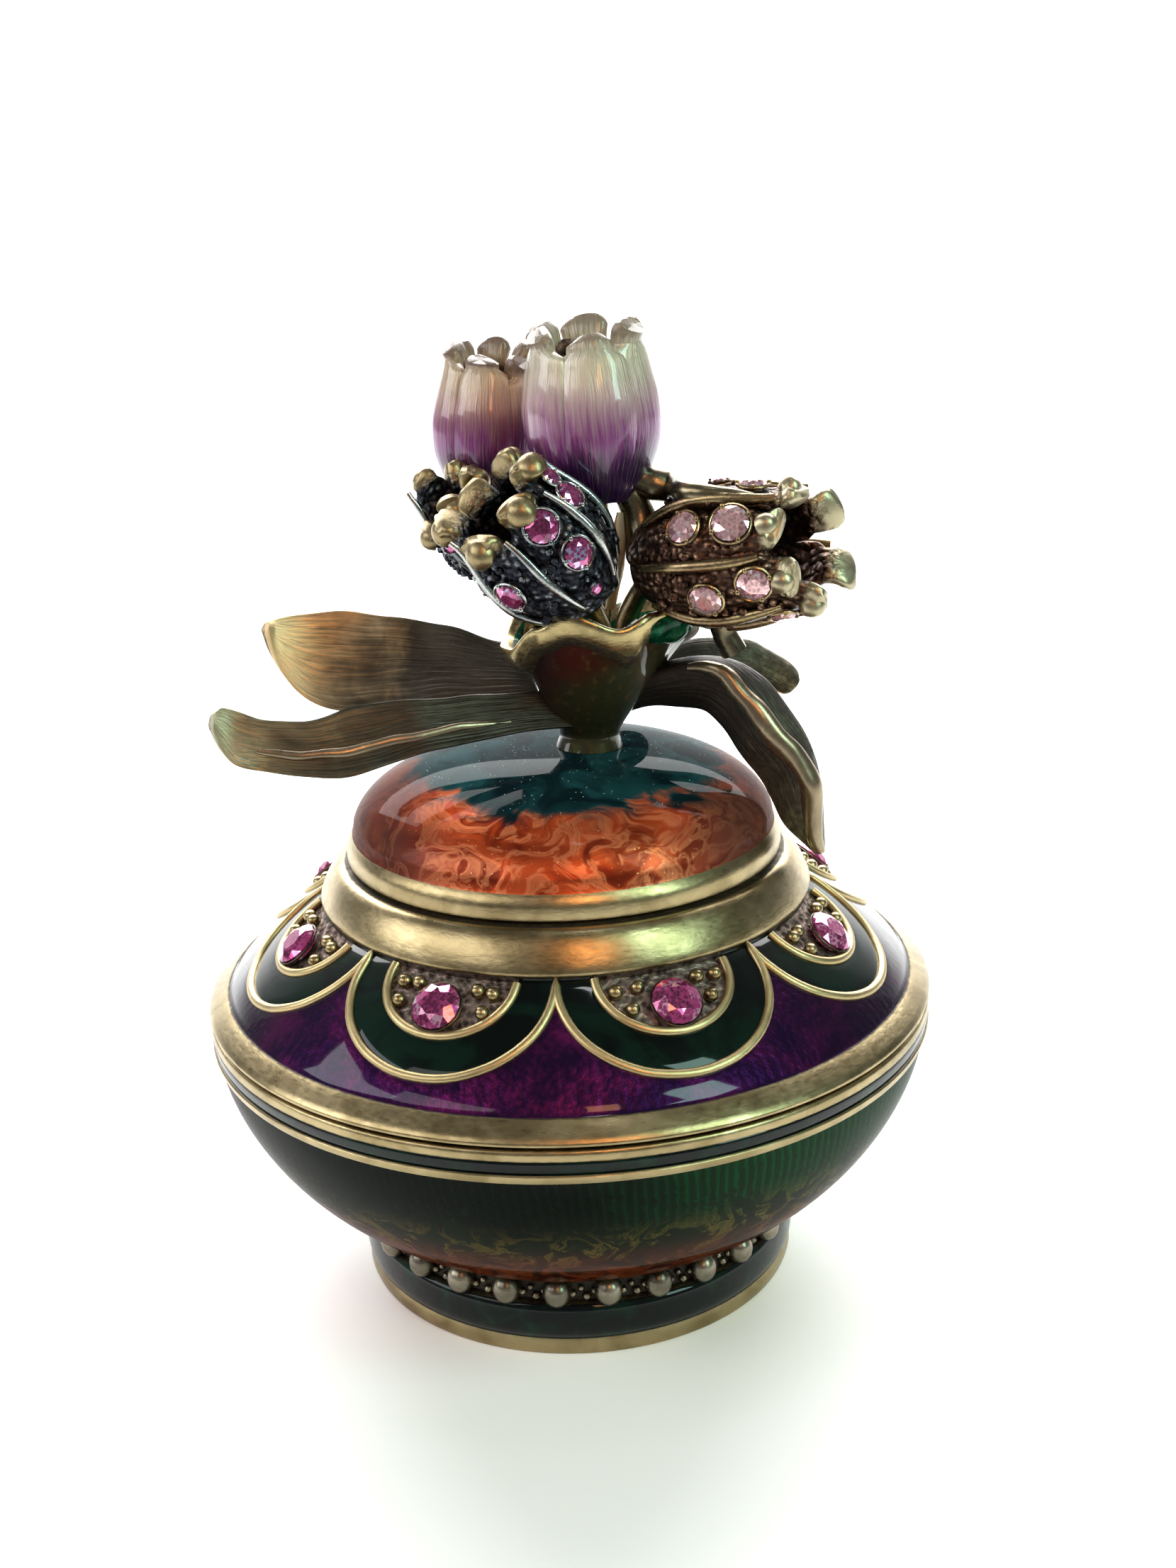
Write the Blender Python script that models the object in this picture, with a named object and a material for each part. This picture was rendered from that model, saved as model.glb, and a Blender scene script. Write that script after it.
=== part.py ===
# Enamel trinket box with a cast bouquet on its lid.
# A round footed bowl, a lift-off lid with a domed cap, and flowers and leaves standing on the dome.
# Units are metres, +Z is up, the origin is the centre of the foot's underside, -Y faces the viewer.

import math

import bmesh
import bpy
from mathutils import Matrix, Vector

MM = 0.001

# Clearances and shared sizes
SEAT_GAP = 0.3 * MM          # between pieces that rest on or stand in each other
LIP_CLEARANCE = 0.5 * MM     # round the lid's locating lip, inside the bowl
EDGE_ROUND = 0.1 * MM        # how far a seam's outer corner is eased
TURNED_SIDES = 32            # sides of every turned piece

# Bowl
BELLY_R = 33.0 * MM          # widest radius, at the seam
BOWL_RIM_Z = 27.0 * MM
BOWL_DEPTH_R = 25.4 * MM     # vertical half axis of the bowl's outer curve
BOWL_WALL = 1.6 * MM
BOWL_FLOOR = 2.0 * MM        # thickness of the bowl's floor
RIM_H = 0.9 * MM             # plain brass rim above the dark band
BAND_H = 1.2 * MM            # dark enamel band below the rim
LINE_H = 0.75 * MM           # brass line below the dark band
LINE_PROUD = 0.15 * MM

# Foot, with a groove of beads above its band
FOOT_R = 20.3 * MM
FOOT_RIM_H = 1.65 * MM
FOOT_BAND_H = 3.5 * MM
FOOT_BULGE = 0.25 * MM
FOOT_WALL = 2.2 * MM
FOOT_FILLET = 1.0 * MM       # between the foot's inside and the bowl's floor
GROOVE_DEPTH = 0.8 * MM      # from the foot's radius in to the groove behind the beads
GROOVE_H = 2.6 * MM
BEAD_COUNT = 28
BEAD_R = 1.05 * MM
BEAD_OUT = 0.43 * MM         # a bead's middle stands this far outside the groove's wall
BEAD_LIFT = 1.0 * MM         # and this far above the foot's band
BEAD_STRETCH = 1.15          # height of a bead over its width

# Lid shoulder and collar
LID_WALL = 1.5 * MM
LID_RIM_W = 1.9 * MM         # radial width of the sloping brass rim
LID_RIM_H = 1.6 * MM
SHOULDER_RUN = 9.0 * MM      # from the brass rim in to the collar
SHOULDER_RISE = 7.6 * MM
SHOULDER_BULGE = 0.55 * MM   # how far the shoulder swells above a straight cone
COLLAR_H = 3.6 * MM
COLLAR_SLOPE = 1.9 * MM      # how far the collar leans in
LEDGE_ROUND = 0.4 * MM
LIP_DEPTH = 1.2 * MM
LIP_W = 1.3 * MM
LID_HOLE_R = 16.6 * MM       # the lid is open under the dome

# Scallops and stones round the shoulder
LOBE_COUNT = 8
LOBE_TURN = -25.4            # degrees from the viewer's side to the first lobe's middle
LOBE_REACH = 7.3 * MM        # from the collar out to the lobe's lowest point
INNER_REACH = 4.6 * MM
INNER_HALF_ANGLE = 14.5      # degrees
WIRE_R = 0.3 * MM
STONE_R = 2.0 * MM
STONE_OUT = 2.7 * MM         # from the collar to the stone's middle
STONE_H = 0.75 * MM
STONE_LIFT = 0.45 * MM       # from the shoulder to the stone's underside
STONE_TABLE = 0.55           # flat top's share of a stone's radius
STONE_SIDES = 8

# Dome
DOME_EDGE_R = 19.6 * MM
DOME_EDGE_H = 1.3 * MM
DOME_BEVEL = 0.9 * MM
DOME_RISE = 6.9 * MM
DOME_FULLNESS = 2.5          # exponent of the dome's curve: 2 is an ellipse
DOME_WALL = 1.4 * MM
DOME_SEAT_W = 2.2 * MM       # width of the ring that sits on the ledge

# Calyx cup
CUP_X = 2.6 * MM             # the cup's foot stands a little right of the axis
CUP_LEAN = 1.3 * MM          # the lip's middle is this much further right
CUP_FOOT_R = 3.0 * MM
CUP_WAIST_R = 2.65 * MM
CUP_LIP_R = 8.4 * MM
CUP_H = 11.1 * MM
CUP_WALL = 1.3 * MM
CUP_FLOOR = 5.2 * MM         # height of the solid foot below the cup's hollow
CUP_FLOOR_R = 3.4 * MM
CUP_SIDES = 25

# Bouquet: its leaves and flowers are laid out in hundredths of its height
BOUQUET_H = 37.2 * MM        # from the cup's foot to the tall tulip's tip
LEAF_THICK = 1.1 * MM
STEM_R = 0.9 * MM
PETAL_WALL = 0.9 * MM

# Heights and radii that follow from the sizes above
SEAM_Z = BOWL_RIM_Z + SEAT_GAP
BAND_IN_R = BELLY_R - LID_RIM_W                 # where the brass rim meets the purple
SHOULDER_Z = SEAM_Z + LID_RIM_H
COLLAR_R = BAND_IN_R - SHOULDER_RUN
COLLAR_Z = SHOULDER_Z + SHOULDER_RISE
LEDGE_Z = COLLAR_Z + COLLAR_H
LEDGE_R = COLLAR_R - COLLAR_SLOPE
DOME_Z = LEDGE_Z + SEAT_GAP
DOME_CURVE_Z = DOME_Z + DOME_EDGE_H + DOME_BEVEL
DOME_CURVE_R = DOME_EDGE_R - 0.6 * DOME_BEVEL
DOME_TOP_Z = DOME_CURVE_Z + DOME_RISE
GROOVE_R = FOOT_R - GROOVE_DEPTH
GROOVE_Z = FOOT_RIM_H + FOOT_BAND_H
GROOVE_TOP_Z = GROOVE_Z + GROOVE_H
CUP_Z = DOME_TOP_Z + SEAT_GAP


def bowl_radius(z):
    """Outer radius of the bowl at a height below its rim."""
    drop = (SEAM_Z - z) / BOWL_DEPTH_R
    return BELLY_R * math.sqrt(max(0.0, 1.0 - drop * drop))


def shoulder_radius(z):
    """Outer radius of the lid's shoulder between the brass rim and the collar."""
    share = (z - SHOULDER_Z) / SHOULDER_RISE
    return BAND_IN_R - SHOULDER_RUN * share + SHOULDER_BULGE * math.sin(math.pi * share)


def shoulder_height(r):
    """Height of the shoulder's surface at a radius, found by halving."""
    low, high = SHOULDER_Z, COLLAR_Z
    for _ in range(30):
        middle = 0.5 * (low + high)
        if shoulder_radius(middle) > r:
            low = middle
        else:
            high = middle
    return 0.5 * (low + high)


def dome_height(r, inset=0.0):
    """Height of the dome's surface at a radius, or of the same curve set in by a wall."""
    share = min(1.0, r / (DOME_CURVE_R - inset))
    return DOME_CURVE_Z + (DOME_RISE - inset) * math.sqrt(1.0 - share ** DOME_FULLNESS)


def on_circle(radius, degrees, z):
    """Point at an angle from the viewer's side, positive to the right."""
    turn = math.radians(degrees)
    return Vector((radius * math.sin(turn), -radius * math.cos(turn), z))


def spot(x, y, z):
    """Point of the bouquet, in hundredths of its height from the cup's foot."""
    return Vector((CUP_X, 0.0, CUP_Z)) + Vector((x, y, z)) * BOUQUET_H / 100


# Materials
def material(name, color, roughness, metallic):
    mat = bpy.data.materials.new(name)
    mat.use_nodes = True
    shader = mat.node_tree.nodes["Principled BSDF"]
    shader.inputs["Base Color"].default_value = (*color, 1.0)
    shader.inputs["Roughness"].default_value = roughness
    shader.inputs["Metallic"].default_value = metallic
    mat.diffuse_color = (*color, 1.0)
    return mat


# Mesh tools
def finish_mesh(name, bm, mat, cutter=False):
    """Turn a bmesh into a named object, smooth except at its sharp edges."""
    bmesh.ops.recalc_face_normals(bm, faces=bm.faces)
    mesh = bpy.data.meshes.new(name)
    bm.to_mesh(mesh)
    bm.free()
    mesh.shade_smooth()
    mesh.set_sharp_from_angle(angle=math.radians(38))
    mesh.materials.append(mat)
    obj = bpy.data.objects.new(name, mesh)
    bpy.context.collection.objects.link(obj)
    if cutter:
        obj.hide_render = True
        obj.display_type = "WIRE"
    return obj


def spun(name, profile, mat):
    """Spin an outline of (radius, height) points round the Z axis; it closes on itself or on the axis."""
    bm = bmesh.new()
    verts = [bm.verts.new((r, 0.0, z)) for r, z in profile]
    edges = [bm.edges.new((a, b)) for a, b in zip(verts, verts[1:])]
    if profile[0][0] > 0.0:
        edges.append(bm.edges.new((verts[-1], verts[0])))
    bmesh.ops.spin(bm, geom=verts + edges, cent=(0, 0, 0), axis=(0, 0, 1),
                   angle=2 * math.pi, steps=TURNED_SIDES, use_merge=True)
    bmesh.ops.remove_doubles(bm, verts=bm.verts, dist=0.001 * MM)
    return finish_mesh(name, bm, mat)


def lofted(name, rings, mat, closed=False, cutter=False):
    """Skin a row of equal rings, with a fan over each end unless the row is closed."""
    bm = bmesh.new()
    rows = [[bm.verts.new(point) for point in ring] for ring in rings]
    pairs = list(zip(rows, rows[1:]))
    if closed:
        pairs.append((rows[-1], rows[0]))
    for low, high in pairs:
        count = len(low)
        for k in range(count):
            bm.faces.new((low[k], low[(k + 1) % count], high[(k + 1) % count], high[k]))
    if not closed:
        for row in (rows[0], rows[-1]):
            middle = bm.verts.new(sum((v.co for v in row), Vector()) / len(row))
            for k in range(len(row)):
                bm.faces.new((row[k], row[(k + 1) % len(row)], middle))
    return finish_mesh(name, bm, mat, cutter)


def between(table, at):
    """Value at a place on a smooth curve through the rows of a table, each a place and a value."""
    k = max(i for i in range(len(table) - 1) if i == 0 or table[i][0] <= at)
    (left, low), (right, high) = table[k], table[k + 1]
    t = min(1.0, max(0.0, (at - left) / (right - left)))
    return low + (high - low) * t * t * (3.0 - 2.0 * t)


def smooth_path(points, per_span):
    """Catmull-Rom curve through the points, with so many samples for each span."""
    ends = [points[0] * 2 - points[1]] + list(points) + [points[-1] * 2 - points[-2]]
    path = []
    for k in range(1, len(ends) - 2):
        a, b, c, d = ends[k - 1:k + 3]
        for step in range(per_span):
            t = step / per_span
            path.append(0.5 * (2 * b + (c - a) * t + (2 * a - 5 * b + 4 * c - d) * t ** 2
                               + (3 * b - a - 3 * c + d) * t ** 3))
    path.append(points[-1].copy())
    return path


def tube(name, path, radii, sides, mat, closed=False):
    """Round rod along a path, with its own radius at each point."""
    rings = []
    count = len(path)
    side = Vector((0, 0, 1)) if abs((path[1] - path[0]).normalized().z) < 0.9 else Vector((0, 1, 0))
    for k, point in enumerate(path):
        before = path[k - 1] if closed or k else path[0]
        after = path[(k + 1) % count] if closed or k + 1 < count else path[-1]
        tangent = (after - before).normalized()
        guess = Vector((point.x, point.y, 0.0)) if closed else side
        side = (guess - tangent * guess.dot(tangent)).normalized()
        other = tangent.cross(side)
        rings.append([point + radii[k] * (side * math.cos(2 * math.pi * s / sides)
                                          + other * math.sin(2 * math.pi * s / sides))
                      for s in range(sides)])
    return lofted(name, rings, mat, closed, cutter=True)


def fuse(target, tool):
    """Join a tool's shape to a target, as one casting."""
    join = target.modifiers.new("join " + tool.name, "BOOLEAN")
    join.operation = "UNION"
    join.object = tool


# The bowl, cast in one with its foot and the foot's beads
def make_bowl(mat):
    band_top = BOWL_RIM_Z - RIM_H
    line_top = band_top - BAND_H
    line_low = line_top - LINE_H
    foot_in = FOOT_R - FOOT_WALL
    under_z = GROOVE_TOP_Z - 0.6 * BOWL_FLOOR
    floor_z = under_z + BOWL_FLOOR
    curve_z = GROOVE_TOP_Z + 0.15 * GROOVE_H
    outline = [(0.0, under_z), (foot_in - 0.8 * FOOT_FILLET, under_z), (foot_in, under_z - FOOT_FILLET),
               (foot_in, 0.0), (FOOT_R, 0.0), (FOOT_R, FOOT_RIM_H),
               (FOOT_R + FOOT_BULGE, FOOT_RIM_H + 0.4 * FOOT_BAND_H),
               (FOOT_R - 0.8 * FOOT_BULGE, FOOT_RIM_H + 0.92 * FOOT_BAND_H),
               (GROOVE_R, GROOVE_Z), (GROOVE_R, GROOVE_TOP_Z)]
    for share in (0.0, 0.13, 0.32, 0.53, 0.76, 1.0):
        z = curve_z + (line_low - curve_z) * share
        outline.append((bowl_radius(z), z))
    outline += [(bowl_radius(line_low) + LINE_PROUD, line_low + 0.5 * LINE_H),
                (bowl_radius(line_top), line_top), (bowl_radius(band_top), band_top),
                (BELLY_R, BOWL_RIM_Z - 0.3 * RIM_H), (BELLY_R - EDGE_ROUND, BOWL_RIM_Z),
                (BELLY_R - BOWL_WALL, BOWL_RIM_Z)]
    for share, walls in ((0.35, 1.0), (0.6, 1.35), (0.82, 1.7), (0.96, 2.05)):
        z = BOWL_RIM_Z + (floor_z - BOWL_RIM_Z) * share
        outline.append((bowl_radius(z) - BOWL_WALL * walls, z))
    outline += [(outline[-1][0] - 1.5 * BOWL_WALL, floor_z), (0.0, floor_z)]
    bowl = spun("bowl", outline, mat)
    bm = bmesh.new()
    for k in range(BEAD_COUNT):
        turn = 360.0 * (k + 0.5) / BEAD_COUNT
        place = Matrix.Translation(on_circle(GROOVE_R + BEAD_OUT, turn, GROOVE_Z + BEAD_LIFT))
        spin = Matrix.Rotation(math.radians(turn), 4, "Z")
        shape = Matrix.Diagonal((1.0, 1.0, BEAD_STRETCH, 1.0))
        bmesh.ops.create_uvsphere(bm, u_segments=6, v_segments=3, radius=BEAD_R, matrix=place @ spin @ shape)
    fuse(bowl, finish_mesh("foot beads", bm, mat, cutter=True))
    return bowl


# The lid's shoulder and collar, with raised scallop wires
def lobe_path(middle, half_angle, reach, steps, start, end):
    """Scallop line on the shoulder, from one cusp out and back, with its last point left off."""
    path = []
    for k in range(steps):
        phase = math.radians(start + (end - start) * k / steps)
        r = COLLAR_R + reach * math.sin(phase)
        path.append(on_circle(r, middle - half_angle * math.cos(phase), shoulder_height(r)))
    return path


def lobe_middle(index):
    return LOBE_TURN + 360.0 * index / LOBE_COUNT


def make_lid(mat):
    lip_out = BELLY_R - BOWL_WALL - LIP_CLEARANCE
    lip_in = lip_out - LIP_W
    outline = [(lip_in, SEAM_Z - LIP_DEPTH), (lip_out, SEAM_Z - LIP_DEPTH), (lip_out, SEAM_Z),
               (BELLY_R - EDGE_ROUND, SEAM_Z), (BELLY_R, SEAM_Z + 0.2 * LID_RIM_H), (BAND_IN_R, SHOULDER_Z)]
    for share in (0.3, 0.6):
        z = SHOULDER_Z + SHOULDER_RISE * share
        outline.append((shoulder_radius(z), z))
    outline += [(COLLAR_R, COLLAR_Z), (COLLAR_R - 0.4 * COLLAR_SLOPE, COLLAR_Z + 0.65 * COLLAR_H),
                (LEDGE_R, LEDGE_Z - 0.4 * LEDGE_ROUND), (LEDGE_R - LEDGE_ROUND, LEDGE_Z),
                (LID_HOLE_R, LEDGE_Z), (LID_HOLE_R, LEDGE_Z - LID_WALL),
                (COLLAR_R - 1.6 * LID_WALL, COLLAR_Z - 0.2 * LID_WALL), (lip_in, SEAM_Z + 0.15 * LID_WALL)]
    lid = spun("lid", outline, mat)
    wire = []
    for k in range(LOBE_COUNT):
        wire += lobe_path(lobe_middle(k), 180.0 / LOBE_COUNT, LOBE_REACH, 8, 0.0, 180.0)
    fuse(lid, tube("outer scallop wire", wire, [WIRE_R] * len(wire), 4, mat, closed=True))
    for k in range(LOBE_COUNT):
        arc = lobe_path(lobe_middle(k), INNER_HALF_ANGLE, INNER_REACH, 6, 4.0, 207.0)
        fuse(lid, tube("inner scallop wire %d" % (k + 1), arc, [WIRE_R] * len(arc), 4, mat))
    return lid


def make_lid_stone(index, mat):
    """Round cut stone, standing just above the shoulder and square to it."""
    r = COLLAR_R + STONE_OUT
    seat = on_circle(r, lobe_middle(index), shoulder_height(r))
    outward = on_circle(SHOULDER_RISE, lobe_middle(index), SHOULDER_RUN).normalized()
    across = on_circle(1.0, lobe_middle(index) + 90.0, 0.0)
    slope = outward.cross(across)
    rings = []
    for share, lift in ((0.8, 0.0), (1.0, 0.35), (STONE_TABLE, 1.0)):
        ring = []
        for k in range(STONE_SIDES):
            turn = 2 * math.pi * k / STONE_SIDES
            radial = across * math.cos(turn) + slope * math.sin(turn)
            ring.append(seat + outward * (STONE_LIFT + lift * STONE_H) + radial * share * STONE_R)
        rings.append(ring)
    return lofted("lid_stone_%d" % (index + 1), rings, mat)


# The domed cap, a thin shell that sits on the collar's ledge
def make_dome(mat):
    seat_in = DOME_EDGE_R - DOME_SEAT_W
    inner = DOME_CURVE_R - DOME_WALL
    outline = [(0.0, DOME_TOP_Z - DOME_WALL)]
    outline += [(inner * share, dome_height(inner * share, DOME_WALL)) for share in (0.5, 0.85)]
    outline += [(seat_in, DOME_Z + DOME_EDGE_H), (seat_in, DOME_Z), (DOME_EDGE_R - EDGE_ROUND, DOME_Z),
                (DOME_EDGE_R, DOME_Z + 0.25 * DOME_EDGE_H), (DOME_EDGE_R, DOME_Z + DOME_EDGE_H),
                (DOME_CURVE_R, DOME_CURVE_Z)]
    outline += [(DOME_CURVE_R * share, dome_height(DOME_CURVE_R * share)) for share in (0.96, 0.86, 0.68, 0.4)]
    outline.append((0.0, DOME_TOP_Z))
    return spun("dome", outline, mat)


# The calyx cup and its leaves, one casting that stands on the dome
CUP_WAVES = ((-180, -0.6), (-140, 1.2), (-100, -2.0), (-65, -1.8), (-20, 1.9), (10, 0.4), (40, 1.6), (85, -1.2),
             (130, 0.8), (180, -0.6))          # degrees from the viewer's side, and mm above the lip's mean


def make_calyx(mat):
    """Wavy cup: its rings run up the outside, over the lip and down into the hollow."""
    def ring(height, radius, wave):
        points = []
        for k in range(CUP_SIDES):
            degrees = 360.0 * k / CUP_SIDES - 180.0
            lip = between(CUP_WAVES, degrees) * MM
            point = on_circle(radius, degrees, CUP_Z + CUP_H * height + wave * lip)
            point.x += CUP_X + CUP_LEAN * height
            points.append(point)
        return points

    def flared(share):
        return CUP_FOOT_R + (CUP_LIP_R - CUP_FOOT_R) * share

    foot = ring(0.0, CUP_FOOT_R, 0.0)
    for point in foot:
        point.z = dome_height(math.hypot(point.x, point.y)) + SEAT_GAP
    rings = [foot, ring(0.08, CUP_WAIST_R, 0.0), ring(0.35, flared(0.22), 0.1), ring(0.7, flared(0.62), 0.5),
             ring(0.93, flared(0.93), 0.9), ring(1.0, CUP_LIP_R, 1.0), ring(1.02, CUP_LIP_R - 0.7 * CUP_WALL, 1.0),
             ring(0.72, flared(0.62) - CUP_WALL, 0.5), ring(CUP_FLOOR / CUP_H, CUP_FLOOR_R, 0.0)]
    return lofted("calyx_and_leaves", rings, mat)


def leaf(name, stations, across, cup, fold, mat):
    """Cast leaf along a vein. Each station is a spot and the widths below and above the vein;
    across turns from the first direction to the second, and cup bends the edges up, or down if negative."""
    unit = BOUQUET_H / 100
    vein = [spot(*station[:3]) for station in stations]
    last = len(vein) - 1
    rings = []
    for k, (point, station) in enumerate(zip(vein, stations)):
        below, above = station[3] * unit, station[4] * unit
        along = vein[min(k + 1, last)] - vein[max(k - 1, 0)]
        side = Vector(across[0]).lerp(Vector(across[1]), k / last).normalized()
        normal = side.cross(along).normalized()
        ring = []
        for face, shares in ((0.5, (-1.0, -0.4, 0.4, 1.0)), (-0.5, (1.0, 0.4, -0.4, -1.0))):
            for share in shares:
                width = above if share > 0 else below
                lift = cup * width * abs(share) ** fold + face * LEAF_THICK * (1.0 - 0.5 * share * share)
                ring.append(point + side * width * share + normal * lift)
        rings.append(ring)
    return lofted(name, rings, mat, cutter=True)


# Flowers
def flower(name, base, aim, length, radius, mouth, petals, notch, flare, stem, mat):
    """Tulip with overlapping petals round a hollow mouth, cast in one with its stem."""
    unit = BOUQUET_H / 100
    base = spot(*base)
    up = Vector(aim).normalized()
    side = up.cross(Vector((0, 1, 0))).normalized()
    other = up.cross(side)
    per_petal = 4
    sides = petals * per_petal

    def ring(t, r, rim_share, inset):
        """Ring at a share of the bloom's length, dipped and drawn in between the petals."""
        points = []
        for k in range(sides):
            edge = abs(2.0 * (k % per_petal) / per_petal - 1.0)
            turn = 2 * math.pi * k / sides
            reach = r * (1.0 - 0.1 * edge ** 2 * min(1.0, 3.0 * t)) - inset + flare * unit * rim_share * (1.0 - edge)
            rise = length * unit * t - notch * unit * rim_share * edge ** 2
            points.append(base + up * rise + (side * math.cos(turn) + other * math.sin(turn)) * reach)
        return points

    rows = 4
    rings = [ring(0.0, 0.3 * radius * unit, 0.0, 0.0)]
    for k in range(1, rows):
        t = k / rows
        belly = radius * math.sin(math.pi * (0.12 + 0.75 * t)) ** 0.7
        rings.append(ring(t, unit * (belly + (mouth - belly) * t ** 2.5), t ** 4, 0.0))
    rings += [ring(1.0, mouth * unit, 1.0, 0.0), ring(1.0, mouth * unit, 1.0, PETAL_WALL),
              ring(0.6, 0.9 * radius * unit, 0.15, 1.2 * PETAL_WALL), ring(0.45, 0.4 * radius * unit, 0.0, 0.0)]
    bloom = lofted(name, rings, mat)
    path = smooth_path([spot(*point) for point in stem] + [base + up * 0.12 * length * unit], 2)
    fuse(bloom, tube(name + " stem", path, [STEM_R] * len(path), 6, mat))
    return bloom


# Build
for old in list(bpy.data.objects):
    bpy.data.objects.remove(old, do_unlink=True)

green = material("green_enamel", (0.01, 0.07, 0.03), 0.12, 0.0)
purple = material("purple_enamel", (0.10, 0.01, 0.16), 0.12, 0.0)
orange = material("orange_enamel", (0.55, 0.10, 0.03), 0.12, 0.0)
leafy = material("patinated_brass", (0.26, 0.25, 0.14), 0.40, 0.8)
pearl = material("pearl_enamel", (0.62, 0.52, 0.50), 0.20, 0.1)
dark = material("dark_brass", (0.14, 0.09, 0.08), 0.35, 0.9)
gem = material("pink_stone", (0.70, 0.06, 0.30), 0.05, 0.0)

make_bowl(green)
make_lid(purple)
make_dome(orange)
for number in range(LOBE_COUNT):
    make_lid_stone(number, gem)

calyx = make_calyx(leafy)
upright = ((0, 0.65, 0.75), (0, 0.6, 0.8))
fuse(calyx, leaf("leaf back left", [(-2, 2, 8, 4, 4), (-12, 6, 15.5, 6, 5.5), (-22, 8, 17, 8, 6.8),
                                    (-33, 11, 18, 10.6, 9.4), (-47, 14, 18, 13, 11), (-59, 15, 18.3, 14.6, 12.6),
                                    (-68, 15, 20.2, 12.6, 10.6), (-75, 15, 24, 8, 6), (-77.5, 15, 27.6, 1.6, 1.6)], upright, 0.2, 2, leafy))
fuse(calyx, leaf("leaf front left", [(-2, -2, 8, 4.5, 4.5), (-11, -6, 9, 5, 5), (-22, -9.5, 9.2, 5.6, 5.6),
                                     (-36, -15, 9.4, 6.8, 6.8), (-45, -17.5, 8.7, 7.7, 7.7),
                                     (-55, -20, 7.4, 8.6, 8.4), (-65, -21.5, 6.9, 7, 6.5),
                                     (-74, -21.5, 7.6, 6.4, 6.4), (-80.5, -21.5, 9.8, 6.8, 6.8),
                                     (-86, -21.5, 14.5, 3, 3)], upright, 0.25, 2, leafy))
fuse(calyx, leaf("leaf right", [(2, 0, 8, 4, 3), (14, -4, 15.5, 7, 4), (24, -7, 19, 10, 3), (31.5, -10.5, 18.3, 10, 3.6),
                                (36.5, -13.5, 12.5, 8.6, 6.6), (42, -15.5, 5, 8.6, 6.8), (48.5, -16, -2.5, 9.6, 4.6),
                                (51, -16, -10, 8.4, 3.6), (51.6, -15.5, -18, 5.6, 4), (53.2, -14.6, -25.2, 2, 2)],
                 ((0.3, 0.1, 1.0), (1.0, 0.1, 0.1)), 0.6, 1.4, leafy))
fuse(calyx, leaf("leaf back right", [(2, 2, 8, 3, 3), (16, 9, 14.5, 3.6, 3.6), (27, 14, 16.2, 4.4, 4.4),
                                     (38, 16.5, 14.6, 4.9, 4.9), (45, 16.5, 12, 4.8, 4.8), (51, 15, 8.4, 2, 2)],
                 ((0, 0.5, 0.85), (0.4, 0.3, 0.85)), -0.3, 2, leafy))
fuse(calyx, leaf("leaf back", [(0, 2, 8, 4, 4), (5, 19, 16.7, 8, 8), (10.5, 38, 12.6, 9.5, 9.5), (14.5, 52, 3, 3, 3)],
                 ((1.0, -0.2, 0.0), (1.0, -0.2, -0.1)), 0.2, 2, leafy))

flower("tall_tulip", (4.3, 0, 58.0), (-0.05, 0, 1), 41.4, 16.7, 13.7, 6, 5.4, 1.1,
       [(1.6, 0.5, 16.1), (4.3, 0.8, 35.5)], pearl)
flower("second_tulip", (-22, 20, 56), (0.06, 0, 1), 37.1, 14.5, 10.8, 6, 4.8, 1.1,
       [(0, 6, 17.7), (-11.3, 12.4, 38)], pearl)
flower("left_jewelled_tulip", (2.2, -14.2, 37.6), (-0.66, -0.12, 0.74), 35, 15.3, 13.4, 6, 5.9, 1.6,
       [(2.2, -5.4, 17.7), (4.3, -9.1, 27.4)], dark)
right_tulip = flower("right_jewelled_tulip", (13.4, -7.5, 44.4), (0.90, -0.38, 0.12), 42.5, 15.9, 14.2, 6, 5.9, 1.6,
                     [(7.3, -0.5, 17.7), (10.8, -3.8, 32.8)], dark)
spur = [spot(30, -14, 36), spot(31.5, -12.5, 29), spot(34, -12, 23.5)]
fuse(right_tulip, tube("right tulip spur", smooth_path(spur, 2), [1.3 * STEM_R] * 3 + [0.9 * STEM_R] * 2, 6, dark))
flower("back_jewelled_tulip", (-19.1, 3.2, 41.4), (-0.52, -0.04, 0.85), 25.8, 8.9, 8.3, 5, 4.3, 1.3,
       [(-4, 1.1, 18.8), (-9.7, 4.6, 31.7)], dark)
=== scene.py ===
# %% [markdown]
# # An enamel trinket box with a cast bouquet
# The box is brass, spun and cast, with coloured enamel between raised wires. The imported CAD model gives
# the size and place of every piece. This lesson builds a finer skin for each one and mixes its finish
# from shader nodes, so nothing here needs a picture file.

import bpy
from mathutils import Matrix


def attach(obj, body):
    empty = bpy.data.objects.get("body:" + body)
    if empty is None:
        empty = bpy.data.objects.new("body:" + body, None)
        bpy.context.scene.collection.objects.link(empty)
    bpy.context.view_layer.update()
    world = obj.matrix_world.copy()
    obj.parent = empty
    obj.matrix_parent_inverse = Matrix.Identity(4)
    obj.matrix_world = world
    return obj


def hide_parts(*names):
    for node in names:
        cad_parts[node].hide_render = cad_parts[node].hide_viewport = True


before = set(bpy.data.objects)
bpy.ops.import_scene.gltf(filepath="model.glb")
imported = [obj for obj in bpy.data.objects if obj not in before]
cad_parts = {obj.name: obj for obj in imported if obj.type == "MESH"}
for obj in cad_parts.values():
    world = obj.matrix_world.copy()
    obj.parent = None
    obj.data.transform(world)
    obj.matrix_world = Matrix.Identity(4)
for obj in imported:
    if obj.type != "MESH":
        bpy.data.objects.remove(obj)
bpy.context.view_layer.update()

# %% [markdown]
# ## Sizes
# The same named sizes as in the CAD source, in millimetres. Everything turned shares the Z axis.
# -Y faces the viewer, and angles run from there to the right.

# %% Sizes shared with the CAD model
import math

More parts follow.
